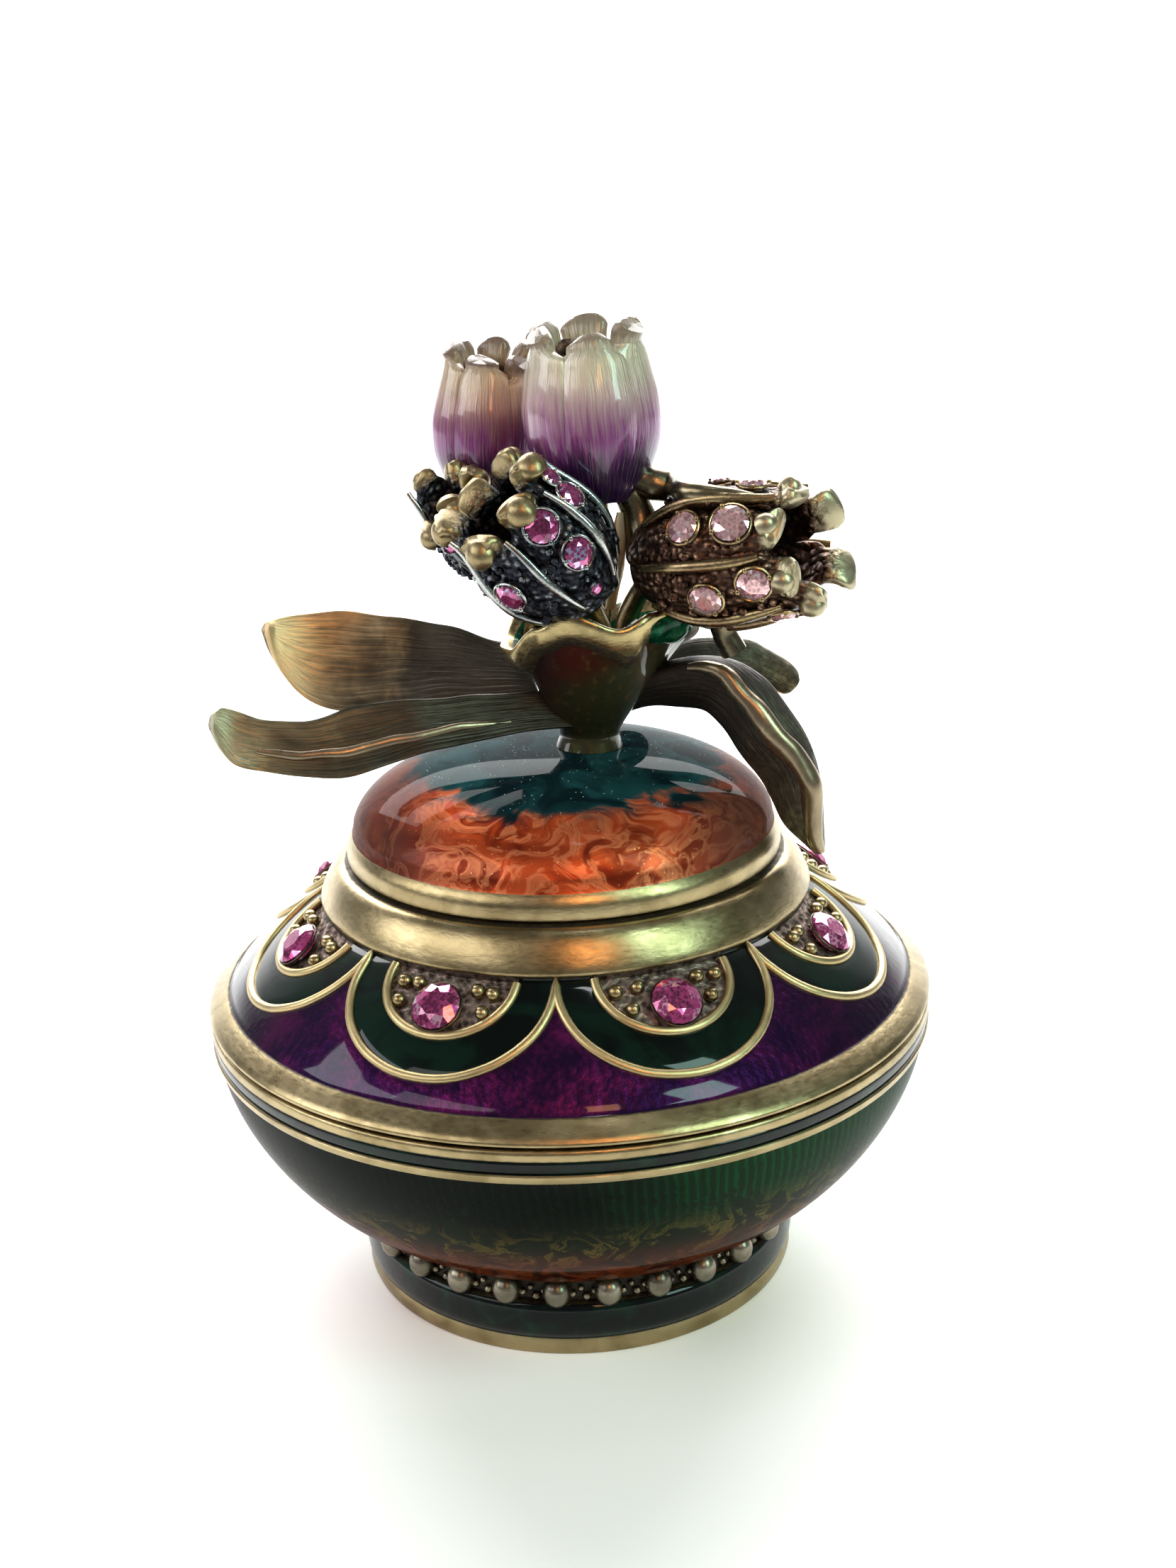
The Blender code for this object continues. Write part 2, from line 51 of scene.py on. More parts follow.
import bmesh
import bpy
import numpy as np
from mathutils import Matrix, Vector, noise

MM = 0.001
BELLY_R = 33.0
BOWL_RIM_Z = 27.0
SEAM_Z = 27.3
BOWL_DEPTH_R = 25.4
BOWL_WALL = 1.6
LINE_LOW, LINE_TOP, BAND_TOP = 24.15, 24.9, 26.1
FOOT_R = 20.3
GROOVE_R, GROOVE_Z, GROOVE_TOP_Z = 19.5, 5.15, 7.75
BAND_IN_R, SHOULDER_Z, SHOULDER_RUN, SHOULDER_RISE, SHOULDER_BULGE = 31.1, 28.9, 9.0, 7.6, 0.55
COLLAR_R, COLLAR_Z, LEDGE_Z, LID_HOLE_R = 22.1, 36.5, 40.1, 16.6
LOBE_COUNT, LOBE_TURN, LOBE_REACH, INNER_REACH, INNER_HALF_ANGLE = 8, -25.4, 7.3, 4.6, 14.5
DOME_EDGE_R, DOME_Z, DOME_CURVE_R, DOME_CURVE_Z, DOME_RISE, DOME_FULLNESS = 19.6, 40.4, 19.06, 42.6, 6.9, 2.5
CUP_X, CUP_LEAN, CUP_Z, CUP_H, CUP_FOOT_R, CUP_LIP_R = 2.6, 1.3, 49.8, 11.1, 3.0, 8.4
BOUQUET_H = 37.2


def bowl_radius(z):
    return BELLY_R * math.sqrt(max(0.0, 1.0 - ((SEAM_Z - z) / BOWL_DEPTH_R) ** 2))


def shoulder_radius(z):
    share = (z - SHOULDER_Z) / SHOULDER_RISE
    return BAND_IN_R - SHOULDER_RUN * share + SHOULDER_BULGE * math.sin(math.pi * share)


def dome_height(r, inset=0.0):
    share = min(1.0, r / (DOME_CURVE_R - inset))
    return DOME_CURVE_Z + (DOME_RISE - inset) * math.sqrt(1.0 - share ** DOME_FULLNESS)


SHOULDER_HEIGHTS = [SHOULDER_Z + SHOULDER_RISE * k / 200 for k in range(201)]
SHOULDER_RADII = [shoulder_radius(z) for z in SHOULDER_HEIGHTS]


def shoulder_height(r):
    """Height of the lid's shoulder at a radius, read from a table of the same curve."""
    return float(np.interp(-r, np.negative(SHOULDER_RADII), SHOULDER_HEIGHTS))


def on_circle(radius, degrees, z):
    turn = math.radians(degrees)
    return np.array((radius * math.sin(turn), -radius * math.cos(turn), z))


def spot(x, y, z):
    """Point of the bouquet, in hundredths of its height from the cup's foot."""
    return np.array((CUP_X, 0.0, CUP_Z)) + np.array((x, y, z)) * BOUQUET_H / 100


print("The bowl is", round(bowl_radius(GROOVE_TOP_Z + 0.4), 1), "mm in radius where it meets its foot.")

# %% [markdown]
# ## Grids of points
# Almost every piece here is a skin over rows of points: a profile turned round an axis, a leaf along its
# vein, a petal round a bud. One small collector turns such grids into a mesh. It also stores a vector
# called lay at each point: place along the piece, place across it, and how deep in a crease it lies.
# The finishes read it to put patina where a cloth never reaches, and painted shade in the same creases, on
# undersides and inside hollows.

# %% A collector for grids
class Shape:
    """Grids of points in millimetres that become one mesh with one finish for each zone."""

    def __init__(self):
        self.points, self.lays, self.faces, self.zones = [], [], [], []
        self.count = 0

    def grid(self, rows, zone=0, loop=False, lay=(0.0, 0.0, 0.0)):
        """Add closed rows. loop joins the last row to the first, else a fan closes each end."""
        rows = np.asarray(rows, float)
        deep, wide = rows.shape[:2]
        steps = deep if loop else deep - 1
        zones = [zone] * steps if isinstance(zone, int) else list(zone)
        lay = np.broadcast_to(np.asarray(lay, float), rows.shape)
        start = self.count
        for k in range(steps):
            a, b = start + k * wide, start + (k + 1) % deep * wide
            for s in range(wide):
                t = (s + 1) % wide
                self.faces.append((a + s, a + t, b + t, b + s))
                self.zones.append(zones[k])
        extra, extra_lay = [], []
        for row, zone_at in () if loop else ((0, zones[0]), (deep - 1, zones[-1])):
            middle = start + deep * wide + len(extra)
            extra.append(rows[row].mean(axis=0))
            extra_lay.append(lay[row].mean(axis=0))
            for s in range(wide):
                self.faces.append((start + row * wide + s, start + row * wide + (s + 1) % wide, middle))
                self.zones.append(zone_at)
        for pile, grid_part, more in ((self.points, rows, extra), (self.lays, lay, extra_lay)):
            pile.append(np.vstack([grid_part.reshape(-1, 3)] + ([np.array(more)] if more else [])))
        self.count = start + deep * wide + len(extra)

    def make(self, name, finishes, node, sharp=45.0):
        """Build the mesh, ride it on the frame and let it stand for a CAD node."""
        mesh = bpy.data.meshes.new(name)
        mesh.from_pydata((np.vstack(self.points) * MM).tolist(), [], self.faces)
        mesh.polygons.foreach_set("material_index", self.zones)
        bm = bmesh.new()
        bm.from_mesh(mesh)
        bmesh.ops.recalc_face_normals(bm, faces=bm.faces)
        bm.to_mesh(mesh)
        bm.free()
        layer = mesh.attributes.new("lay", "FLOAT_VECTOR", "POINT")
        layer.data.foreach_set("vector", np.vstack(self.lays).astype(np.float32).ravel())
        for each in finishes:
            mesh.materials.append(each)
        mesh.shade_smooth()
        mesh.set_sharp_from_angle(angle=math.radians(sharp))
        piece = bpy.data.objects.new(name, mesh)
        bpy.context.scene.collection.objects.link(piece)
        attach(piece, "root")
        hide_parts(node)
        print(name, "has", len(mesh.polygons), "faces")
        return piece


# %% [markdown]
# Three ways to get such rows: turn a profile, sweep a rod along a path, and round a ball. A fourth helper
# pushes points about by smooth noise. Blender's noise takes its start from the clock unless it is given
# a seed, and then no two runs would be alike, so it gets one here.

# %% Rows for turned pieces, rods and balls
NOISE_SEED = 7
noise.seed_set(NOISE_SEED)


def curve(points, per_span):
    """Catmull-Rom curve through points of any length."""
    points = np.asarray(points, float)
    ends = np.vstack([2 * points[0] - points[1], points, 2 * points[-1] - points[-2]])
    path = []
    for k in range(1, len(ends) - 2):
        a, b, c, d = ends[k - 1:k + 3]
        for t in np.arange(per_span) / per_span:
            path.append(0.5 * (2 * b + (c - a) * t + (2 * a - 5 * b + 4 * c - d) * t ** 2
                               + (3 * b - a - 3 * c + d) * t ** 3))
    path.append(points[-1])
    return np.array(path)


def unit(vector):
    """The same direction, one long."""
    return np.asarray(vector, float) / max(1e-9, np.linalg.norm(vector))


def turned(profile, sides):
    """Rows round the Z axis for (radius, height, zone) steps."""
    turn = np.arange(sides) * 2 * math.pi / sides
    return np.array([np.column_stack([r * np.sin(turn), -r * np.cos(turn), np.full(sides, z)])
                     for r, z, _ in profile])


def rod(path, radii, sides, closed=False, flat=1.0, out=None):
    """Rows along a path. flat squeezes the section in the direction away from the Z axis or along out."""
    path = np.asarray(path, float)
    ahead = np.roll(path, -1, axis=0) - np.roll(path, 1, axis=0)
    if not closed:
        ahead[0] = path[1] - path[0]
        ahead[-1] = path[-1] - path[-2]
    rows = []
    side = np.array((0.0, 0.3, 1.0))
    turn = np.arange(sides) * 2 * math.pi / sides
    for point, along, radius in zip(path, ahead, np.broadcast_to(radii, len(path))):
        along = unit(along)
        guess = side if out is None else out(point)
        side = unit(guess - along * np.dot(guess, along))
        other = np.cross(along, side)
        rows.append(point + radius * (np.outer(np.cos(turn) * flat, side) + np.outer(np.sin(turn), other)))
    return np.array(rows)


def ball(middle, radius, sides, stretch=(1.0, 1.0, 1.0)):
    """Rows from pole to pole of a ball."""
    turn = np.arange(sides) * 2 * math.pi / sides
    rows = []
    for polar in math.pi * np.arange(1, sides // 2) / (sides // 2):
        ring = np.column_stack([np.sin(turn) * math.sin(polar), np.cos(turn) * math.sin(polar),
                                np.full(sides, math.cos(polar))])
        rows.append(np.asarray(middle) + ring * radius * np.asarray(stretch))
    return np.array(rows)


def fuller(degrees, wide, high):
    """Cosine and sine of an angle, pushed outwards so that a round section becomes a fuller one."""
    c, s = math.cos(math.radians(degrees)), math.sin(math.radians(degrees))
    return math.copysign(abs(c) ** wide, c), math.copysign(abs(s) ** high, s)


def wobble(points, size, amount, seed=0.0):
    """Move points by smooth noise, as the hand of the caster and the polisher does."""
    flat = points.reshape(-1, 3)
    shift = np.array([noise.noise_vector(Vector(p / size) + Vector((seed, seed, seed))) for p in flat])
    return (flat + shift * amount).reshape(points.shape)


print("A rod of two points has rows of shape", rod([(0, 0, 0), (1, 0, 0)], 0.5, 8).shape)

# %% [markdown]
# ## Shader maths as plain Python
# A wire is a node's output. Adding or multiplying wires adds the nodes that do it, so a finish reads as
# a formula. Numbers use Math nodes, vectors use Vector Math, and colours use Mix, because a Math node
# would turn a colour grey.

# %% A wire that can be used in expressions
def both_ways(operation):
    """The two methods behind an operator: wire with value, and value with wire."""
    return (lambda wire, value: wire.join(operation, wire, value),
            lambda wire, value: wire.join(operation, value, wire))


class Wire:
    """A node's output socket that takes part in Python expressions."""

    def __init__(self, tree, socket):
        self.tree, self.socket = tree, socket

    def node(self, kind, settings, sockets, output=0):
        """Add a node of any kind: its settings first, then the values or wires of its sockets."""
        made = self.tree.nodes.new(kind)
        for name, value in settings.items():
            setattr(made, name, value)
        for name, value in sockets.items():
            target = made.inputs[name]
            if isinstance(value, Wire):
                self.tree.links.new(value.socket, target)
            elif hasattr(target.default_value, "__len__"):
                wide = len(target.default_value)
                many = tuple(value) if hasattr(value, "__len__") else (value,) * wide
                target.default_value = (many + (1.0,))[:wide]
            else:
                target.default_value = value
        return Wire(self.tree, made.outputs[output])

    def join(self, operation, first, second):
        """first operation second, as numbers, vectors or colours, by what the wires carry."""
        carried = {wire.socket.type for wire in (first, second) if isinstance(wire, Wire)}
        if "RGBA" in carried:
            return self.node("ShaderNodeMix", {"data_type": "RGBA", "blend_type": operation},
                             {0: 1.0, 6: first, 7: second}, 2)
        kind = "ShaderNodeVectorMath" if "VECTOR" in carried else "ShaderNodeMath"
        return self.node(kind, {"operation": operation}, {0: first, 1: second})

    __add__, __radd__ = both_ways("ADD")
    __sub__, __rsub__ = both_ways("SUBTRACT")
    __mul__, __rmul__ = both_ways("MULTIPLY")
    __truediv__ = both_ways("DIVIDE")[0]

    def maths(self, operation, other=0.0):
        return self.join(operation, self, other)

    def part(self, letter):
        return self.node("ShaderNodeSeparateXYZ", {}, {0: self}, "XYZ".index(letter))

    def angle(self):
        """Angle round the Z axis in radians, 0 towards the viewer."""
        return self.part("X").maths("ARCTAN2", -1.0 * self.part("Y"))

    def reach(self):
        """Distance from the Z axis."""
        flat = self * (1.0, 1.0, 0.0)
        return self.node("ShaderNodeVectorMath", {"operation": "LENGTH"}, {0: flat}, 1)

    def rise(self, low, high):
        """0 below low, 1 above high and smooth between; it falls instead if low is above high."""
        return self.node("ShaderNodeMapRange", {"interpolation_type": "SMOOTHSTEP"},
                         {"Value": self, "From Min": low, "From Max": high})

    def mix(self, without, full):
        """The colour or wire without where this mask is 0, and full where it is 1."""
        return self.node("ShaderNodeMix", {"data_type": "RGBA"}, {0: self, 6: without, 7: full}, 2)

    def blend(self, without, full):
        """The same for two numbers."""
        return self * full + (1 - self) * without

    def cloud(self, scale, detail=3.0, distortion=0.0):
        """Smooth noise from 0 to 1 at a place, with so many waves a millimetre."""
        return self.node("ShaderNodeTexNoise", {}, {"Vector": self, "Scale": scale, "Detail": detail,
                                                    "Distortion": distortion})

    def warp(self, scale, detail):
        """Noise with a direction, to push places about."""
        return self.node("ShaderNodeTexNoise", {}, {"Vector": self, "Scale": scale, "Detail": detail}, 1)

    def cells(self, scale):
        """Distance to the nearest of scattered points, about 0 to 1."""
        return self.node("ShaderNodeTexVoronoi", {}, {"Vector": self, "Scale": scale})


def finish(name, look, **plain):
    """Material whose Principled sockets come from look(place, lay). Height is relief in millimetres."""
    made = bpy.data.materials.new(name)
    made.use_nodes = True
    tree = made.node_tree
    shader = tree.nodes["Principled BSDF"]
    start = Wire(tree, tree.nodes.new("ShaderNodeTexCoord").outputs["Object"])
    place = start * 1000.0
    lay = start.node("ShaderNodeAttribute", {"attribute_name": "lay"}, {}, "Vector")
    sockets = look(place, lay)
    if "Height" in sockets:
        sockets["Normal"] = start.node("ShaderNodeBump", {}, {"Strength": 1.0, "Distance": MM,
                                                              "Height": sockets.pop("Height")})
    for socket, value in sockets.items():
        tree.links.new(value.socket, shader.inputs[socket])
    for socket, value in plain.items():
        shader.inputs[socket.replace("_", " ")].default_value = value
    print(name, "has", len(tree.nodes), "nodes")
    return made


# %% [markdown]
# ## Antique brass
# The bare metal is satin brass that has aged: an olive gold with darker clouds, fine scratches, and dark
# patina with painted shade in every crease. Metallic is 1 and the base colour is the metal's own; roughness
# varies so that the light breaks up as on a worn surface.

# %% Brass finishes
def brass_finish(name, light, deep, patina_and_shade, rough, grain_scale):
    """A brass with a light and a deep tone, patina and painted shade where lay says so, and its own
    roughness.
    """
    def look(place, lay):
        clouds = place.cloud(0.22, 5.0, 0.6)
        grain = (place * (1.0, 1.0, 3.0)).cloud(grain_scale, 4.0)
        scratches = (place * (0.5, 0.5, 7.0)).cloud(1.6, 2.0).rise(0.60, 0.72)
        metal = clouds.rise(0.35, 0.68).mix(light, deep)
        # crease: patina and painted shade in corners and hollows, which darken the colour there.
        crease = (lay.part("Z") + (grain - 0.5) * 0.5 + clouds.rise(0.62, 0.80) * 0.18).rise(0.35, 0.95)
        return {"Base Color": crease.mix(metal, patina_and_shade),
                "Roughness": rough + (grain - 0.5) * 0.22 + crease * 0.25 - scratches * 0.06,
                "Metallic": 1.0 - crease * 0.35,
                "Height": grain * 0.02 + clouds * 0.03}
    return finish(name, look)


brass = brass_finish("satin_brass", (0.37, 0.29, 0.155), (0.23, 0.175, 0.085), (0.028, 0.02, 0.01), 0.32, 1.3)
grey_silver = brass_finish("worn_grey_silver", (0.27, 0.24, 0.18), (0.14, 0.125, 0.095),
                           (0.02, 0.018, 0.016), 0.32, 1.8)
wire_brass = brass_finish("matte_wire_brass", (0.50, 0.39, 0.20), (0.40, 0.31, 0.155),
                          (0.02, 0.015, 0.010), 0.40, 0.8)
# Nearly black brass for the groove behind the beads and the stones' bezels: patina, and painted shade in the
# groove.
patina_and_shade = brass_finish("dark_patina_and_shade", (0.10, 0.08, 0.05), (0.04, 0.03, 0.02), (0.006, 0.005, 0.004), 0.36, 2.2)
inside_brass = brass_finish("plain_inside_brass", (0.50, 0.40, 0.20), (0.42, 0.33, 0.16),
                            (0.20, 0.15, 0.07), 0.40, 0.9)

# %% [markdown]
# ## Enamel
# Enamel is coloured glass fired over textured metal. A Principled shader does it in two layers: the base
# is a rough metal tinted by the enamel and shaped by the engraving under it, and the coat is the smooth
# glass on top. What is the same everywhere, such as the coat's roughness, is set on the shader itself.
# A bare metal whitens where it is seen edge on; under glass it doesn't, so its edge tint is dimmed.

# %% Enamel finishes
def dim_glass(rough, ior, level=0.0, **more):
    """Settings of the glass over an enamelled metal whose edge tint is dimmed."""
    return dict(more, Coat_Roughness=rough, Coat_IOR=ior, Specular_IOR_Level=level,
                Specular_Tint=(0.12, 0.12, 0.12, 1.0))

def dark_enamel_look(place, lay):
    """Almost black green, with a little colour where the metal shines through."""
    clouds = place.cloud(0.25, 4.0, 1.0)
    grain = place.cloud(5.0, 2.0)
    return {"Base Color": clouds.rise(0.45, 0.75).mix((0.002, 0.004, 0.004), (0.003, 0.020, 0.011)),
            "Roughness": 0.30 + grain * 0.2,
            "Height": place.cloud(0.5, 2.0) * 0.05}


def belly_look(place, lay):
    """Green over slanting engraved rays, painted brighter on the right as painted light, gold-green swirls
    lower down, and brown-orange at the foot.
    """
    height = place.part("Z")
    swirl = place + (place.warp(0.16, 2.0) - 0.5) * 9.0
    marble = swirl.cloud(0.30, 4.0, 1.5)
    rays = ((place.angle() * 240.0 + height * 0.75 + marble * 5.0).maths("SINE") * 0.5 + 0.5)
    # Painted light: the green brightens towards the right side.
    side = place.part("X").rise(-6.0, 20.0)
    green = (side * 0.75 + marble * 0.5).rise(0.25, 1.1).mix((0.001, 0.004, 0.002), (0.001, 0.042, 0.009))
    struck = (rays * rays * 0.8 + 0.25).mix(green * (0.25, 0.3, 0.3), green)
    low = (height + (marble - 0.5) * 10.0 - side).rise(20.5, 15.5)
    gold = marble.rise(0.50, 0.60) * (1 - marble.rise(0.62, 0.70))
    swirls = gold.mix((0.008, 0.016, 0.004), (0.12, 0.09, 0.020))
    brown = marble.rise(0.35, 0.65).mix((0.04, 0.008, 0.003), (0.17, 0.036, 0.009))
    foot = (height + (marble - 0.5) * 6.0).rise(17.0, 13.0)
    colour = foot.mix(low.mix(struck, swirls), brown)
    return {"Base Color": colour, "Roughness": 0.36 + marble * 0.12,
            "Metallic": 0.35 + low * 0.35,
            "Height": rays * 0.10 * (1 - low) + marble * 0.15}


dark_enamel = finish("dark_green_enamel", dark_enamel_look, **dim_glass(0.03, 1.38, 0.1, Coat_Weight=0.6))
belly_enamel = finish("green_belly_enamel", belly_look, **dim_glass(0.03, 1.38, Coat_Weight=0.25))

# %% [markdown]
# ## The bowl
# One profile goes all the way round: under the foot, up its outside, over the beaded groove, the enamelled
# belly, the two brass lines and the rim, and down the hollow inside. Each step of it names its finish.
# Turning it in one piece leaves no seams, and the enamel sits a hair below the wires that hold it.

# %% The bowl's profile
INSIDE, BRASS, DARK, GREEN, GROOVE = range(5)
BOWL_FLOOR_Z, FOOT_FLOOR_Z = 8.55, 6.55


def steps_of(zone, *points):
    """Steps of a profile that share one finish."""
    return [(r, z, zone) for r, z in points]


def pillow(low, high, radius_at, swell, steps, zone):
    """Steps of an enamel field that sinks at its two edges, as fired glass does."""
    rows = []
    for share in np.arange(steps + 1) / steps:
        z = low + (high - low) * share
        rows.append((radius_at(z) - swell * abs(2 * share - 1) ** 6, z, zone))
    return rows


bowl_profile = steps_of(INSIDE, (0.05, FOOT_FLOOR_Z), (17.2, FOOT_FLOOR_Z), (17.8, 6.3), (18.1, 5.6),
                        (18.1, 0.3))
bowl_profile += steps_of(BRASS, (18.35, 0.0), (19.95, 0.0), (20.2, 0.08), (20.3, 0.35), (20.3, 1.35),
                         (20.2, 1.55))
bowl_profile += pillow(1.65, 4.95, lambda z: FOOT_R + 0.22 - 0.055 * (z - 3.1) ** 2, 0.22, 14, DARK)
bowl_profile += steps_of(GROOVE, (19.55, 5.1), (GROOVE_R, 5.4), (GROOVE_R, 7.5), (19.8, 7.75), (21.2, 8.0))
bowl_profile += pillow(8.2, LINE_LOW, bowl_radius, 0.12, 56, GREEN)
bowl_profile += [(bowl_radius(at) + out, z, BRASS) for at, out, z in (
    (LINE_LOW, 0.1, LINE_LOW), (LINE_LOW, 0.2, 24.4), (LINE_TOP, 0.13, 24.75), (LINE_TOP, 0.0, LINE_TOP))]
bowl_profile += pillow(LINE_TOP + 0.02, BAND_TOP - 0.02, bowl_radius, 0.14, 8, DARK)
bowl_profile += steps_of(BRASS, (bowl_radius(BAND_TOP), BAND_TOP), (32.97, 26.25), (32.99, 26.6),
                         (32.95, 26.88), (32.8, BOWL_RIM_Z), (31.6, BOWL_RIM_Z))
bowl_profile += steps_of(INSIDE, (31.4, 26.85))
for share, walls in ((0.1, 1.0), (0.25, 1.0), (0.4, 1.05), (0.55, 1.2), (0.7, 1.5), (0.82, 1.7), (0.92, 1.95),
                     (0.98, 2.3)):
    z = BOWL_RIM_Z + (BOWL_FLOOR_Z - BOWL_RIM_Z) * share
    bowl_profile.append((bowl_radius(z) - BOWL_WALL * walls, z, INSIDE))
bowl_profile += steps_of(INSIDE, (bowl_profile[-1][0] - 2.0, BOWL_FLOOR_Z), (0.05, BOWL_FLOOR_Z))
print("The bowl's profile has", len(bowl_profile), "steps.")

# %% [markdown]
# Patina gathers where two steps meet, and shade is painted there too. Here its depth is given for the few
# rows that sit in a corner, and the finish then breaks its edge with noise.

# %% Build the bowl
SIDES = 256


def corner_crease(corners, depth, width):
    """Rule for the depth of patina and painted shade: most in the given corners, and none so far away from
    them.
    """
    return lambda r, z: depth * max(0.0, 1.0 - min(math.hypot(r - a, z - b) for a, b in corners) / width)


def spin(shape, profile, sides, crease, relief=lambda rows: rows, loop=False):
    """Turn a profile into a grid. lay is the angle in turns, the height, and the depth of crease."""
    turn = np.arange(sides) / sides
    lay = [np.column_stack([turn, np.full(sides, z), np.full(sides, crease(r, z))]) for r, z, _ in profile]
    shape.grid(relief(turned(profile, sides)), [row[2] for row in profile[0 if loop else 1:]], loop, lay)


bowl_corners = corner_crease(((20.1, 1.6), (19.6, 5.1), (32.6, 24.1), (32.85, 24.95), (32.95, 26.05)),
                             0.9, 0.3)


def bowl_crease(r, z):
    # The whole groove behind the beads gets patina and painted shade.
    in_groove = 5.0 < z < 7.9 and r < 21
    return max(0.75 if in_groove else 0.0, bowl_corners(r, z))


bowl = Shape()
spin(bowl, bowl_profile, SIDES, bowl_crease)
bowl.make("bowl_body", [inside_brass, brass, dark_enamel, belly_enamel, patina_and_shade], "bowl")

# %% [markdown]
# ## Beads round the foot
# Twenty-eight beads stand in the groove, each a little taller than wide, with small granules soldered
# between them. They are silvered and worn: paler and greyer than the brass round them.

# %% Build the beads
BEAD_COUNT, BEAD_R = 28, 1.26
beads = Shape()
for k in range(BEAD_COUNT):
    turn = 360.0 * (k + 0.5) / BEAD_COUNT
    beads.grid(ball(on_circle(GROOVE_R + 0.50, turn, GROOVE_Z + 1.0), BEAD_R, 16, (1, 1, 1.14)))
    for step, lift, size in ((-0.20, 0.62, 0.38), (0.08, 0.35, 0.42), (0.24, 0.85, 0.36),
                             (-0.03, 1.15, 0.32)):
        place = on_circle(GROOVE_R + 0.15, turn + (0.5 + step) * 360.0 / BEAD_COUNT, GROOVE_Z + lift)
        beads.grid(ball(place, size, 8))
beads.make("foot_beads", [grey_silver], "bowl", 80.0)

# %% [markdown]
# ## The lid's scallops
# Eight scallops hang from the collar. A raised wire draws each one, and a smaller wire inside it frames a
# pitted metal ground with a set stone. Outside them lies purple enamel, and between the two wires a band
# of dark green. The same curve draws the wires, the sunken ground and the borders of the colours: at an
# angle u from a scallop's middle, its edge is at reach * sqrt(1 - (u / half)^2) below the collar.

# %% The scallop curve in Python and in nodes
HALF_LOBE = 180.0 / LOBE_COUNT


def lobe_reach(degrees, half, reach):
    """Radius of a scallop's edge at an angle, for the mesh."""
    off = (degrees - LOBE_TURN + HALF_LOBE) % (2 * HALF_LOBE) - HALF_LOBE
    return COLLAR_R + reach * math.sqrt(max(0.0, 1.0 - (off / half) ** 2))


def lobe_mask(place, half, reach):
    """1 inside a scallop's edge and 0 outside, for the finish."""
    turned_by = place.angle() * (180.0 / math.pi) - (LOBE_TURN - HALF_LOBE)
    off = turned_by.maths("FLOORED_MODULO", 2 * HALF_LOBE) - HALF_LOBE
    edge = (1.0 - (off / half) * (off / half)).maths("MAXIMUM", 0.0).maths("SQRT") * reach + COLLAR_R
    return (edge - place.reach()).rise(-0.03, 0.03)


print("A scallop reaches", round(lobe_reach(LOBE_TURN, HALF_LOBE, LOBE_REACH), 1), "mm from the axis.")

# %% [markdown]
# The shoulder's finish uses the mask twice, for the outer and the inner edge. Its purple is painted
# brighter on the left of the middle as painted light from the warm window, and the ground inside the small
# wires is rough metal.

# %% Finish of the shoulder
def shoulder_look(place, lay):
    """Purple outside the scallops, dark green between their wires, pitted brown-grey metal inside."""
    clouds = place.cloud(0.16, 3.0, 1.2)
    fine = (place * (1.0, 1.0, 0.5)).cloud(2.2, 4.0)
    rays = (place.angle() * 180.0 + clouds * 8.0).maths("SINE") * 0.5 + 0.5
    glow = (clouds * 0.8 + fine * 0.35).rise(0.45, 0.85)
    # Painted light: the purple is brighter in a patch just left of the middle.
    painted_warm_light = place.part("X").rise(9.0, -3.0) * place.part("X").rise(-22.0, -8.0)
    purple = (glow * (0.45 + painted_warm_light * 0.7)).mix((0.013, 0.002, 0.024), (0.130, 0.008, 0.082))
    green = clouds.rise(0.40, 0.65).mix((0.001, 0.003, 0.002), (0.002, 0.012, 0.007))
    pits = place.cells(1.5)
    speck = place.cloud(3.0, 4.0)
    ground = (pits * 0.9 + speck * 0.5).rise(0.35, 0.95).mix((0.045, 0.033, 0.028), (0.23, 0.18, 0.155))
    outer = lobe_mask(place, HALF_LOBE, LOBE_REACH)
    inner = lobe_mask(place, INNER_HALF_ANGLE, INNER_REACH)
    return {"Base Color": inner.mix(outer.mix(purple, green), ground),
            "Roughness": inner.blend(0.34, 0.42),
            "Metallic": inner.blend(outer.blend(0.72, 0.35), 0.75),
            "Coat Weight": 1.0 - inner * 0.75,
            "Height": inner.blend((rays * 0.02 + fine * 0.10) * (1 - outer), pits * 0.16 + speck * 0.10)}


shoulder_enamel = finish("scallop_enamel", shoulder_look, **dim_glass(0.05, 1.30, 0.1))

# %% [markdown]
# ## The lid's skin
# The shoulder is a dense grid, because its ground really sinks inside the small wires and its enamel
# swells a little between the wires. The collar above it is bare brass with the marks of the hammer.

# %% Build the lid
LID_IN, LID_BRASS, LID_ENAMEL = range(3)
LID_SIDES, SHOULDER_STEPS = 512, 46
SINK, SLOPE_OUT = 0.35, unit((SHOULDER_RISE, SHOULDER_RUN))
lid_profile = steps_of(LID_IN, (29.6, 26.1), (30.9, 26.1))
lid_profile += steps_of(LID_BRASS, (30.9, SEAM_Z), (32.75, SEAM_Z), (32.95, 27.36), (32.99, 27.5),
                        (32.93, 27.68), (32.5, 28.02), (31.9, 28.45), (31.35, 28.82), (31.15, 28.92))
for k in range(SHOULDER_STEPS + 1):
    z = SHOULDER_Z + (SHOULDER_RISE + 0.1) * k / SHOULDER_STEPS
    lid_profile.append((shoulder_radius(min(z, COLLAR_Z)), z, LID_ENAMEL))
lid_profile += steps_of(LID_BRASS, (22.16, 36.7), (22.24, 36.85), (22.2, 37.1), (22.0, 37.6), (21.72, 38.2),
                        (21.35, 38.85), (20.85, 39.5), (20.45, 39.88), (20.15, 40.04), (19.8, LEDGE_Z),
                        (LID_HOLE_R + 0.2, LEDGE_Z))
lid_profile += steps_of(LID_IN, (LID_HOLE_R, 39.9), (LID_HOLE_R, 38.7), (LID_HOLE_R + 0.2, 38.6),
                        (19.7, 36.2), (29.4, 27.65), (29.6, 27.3))


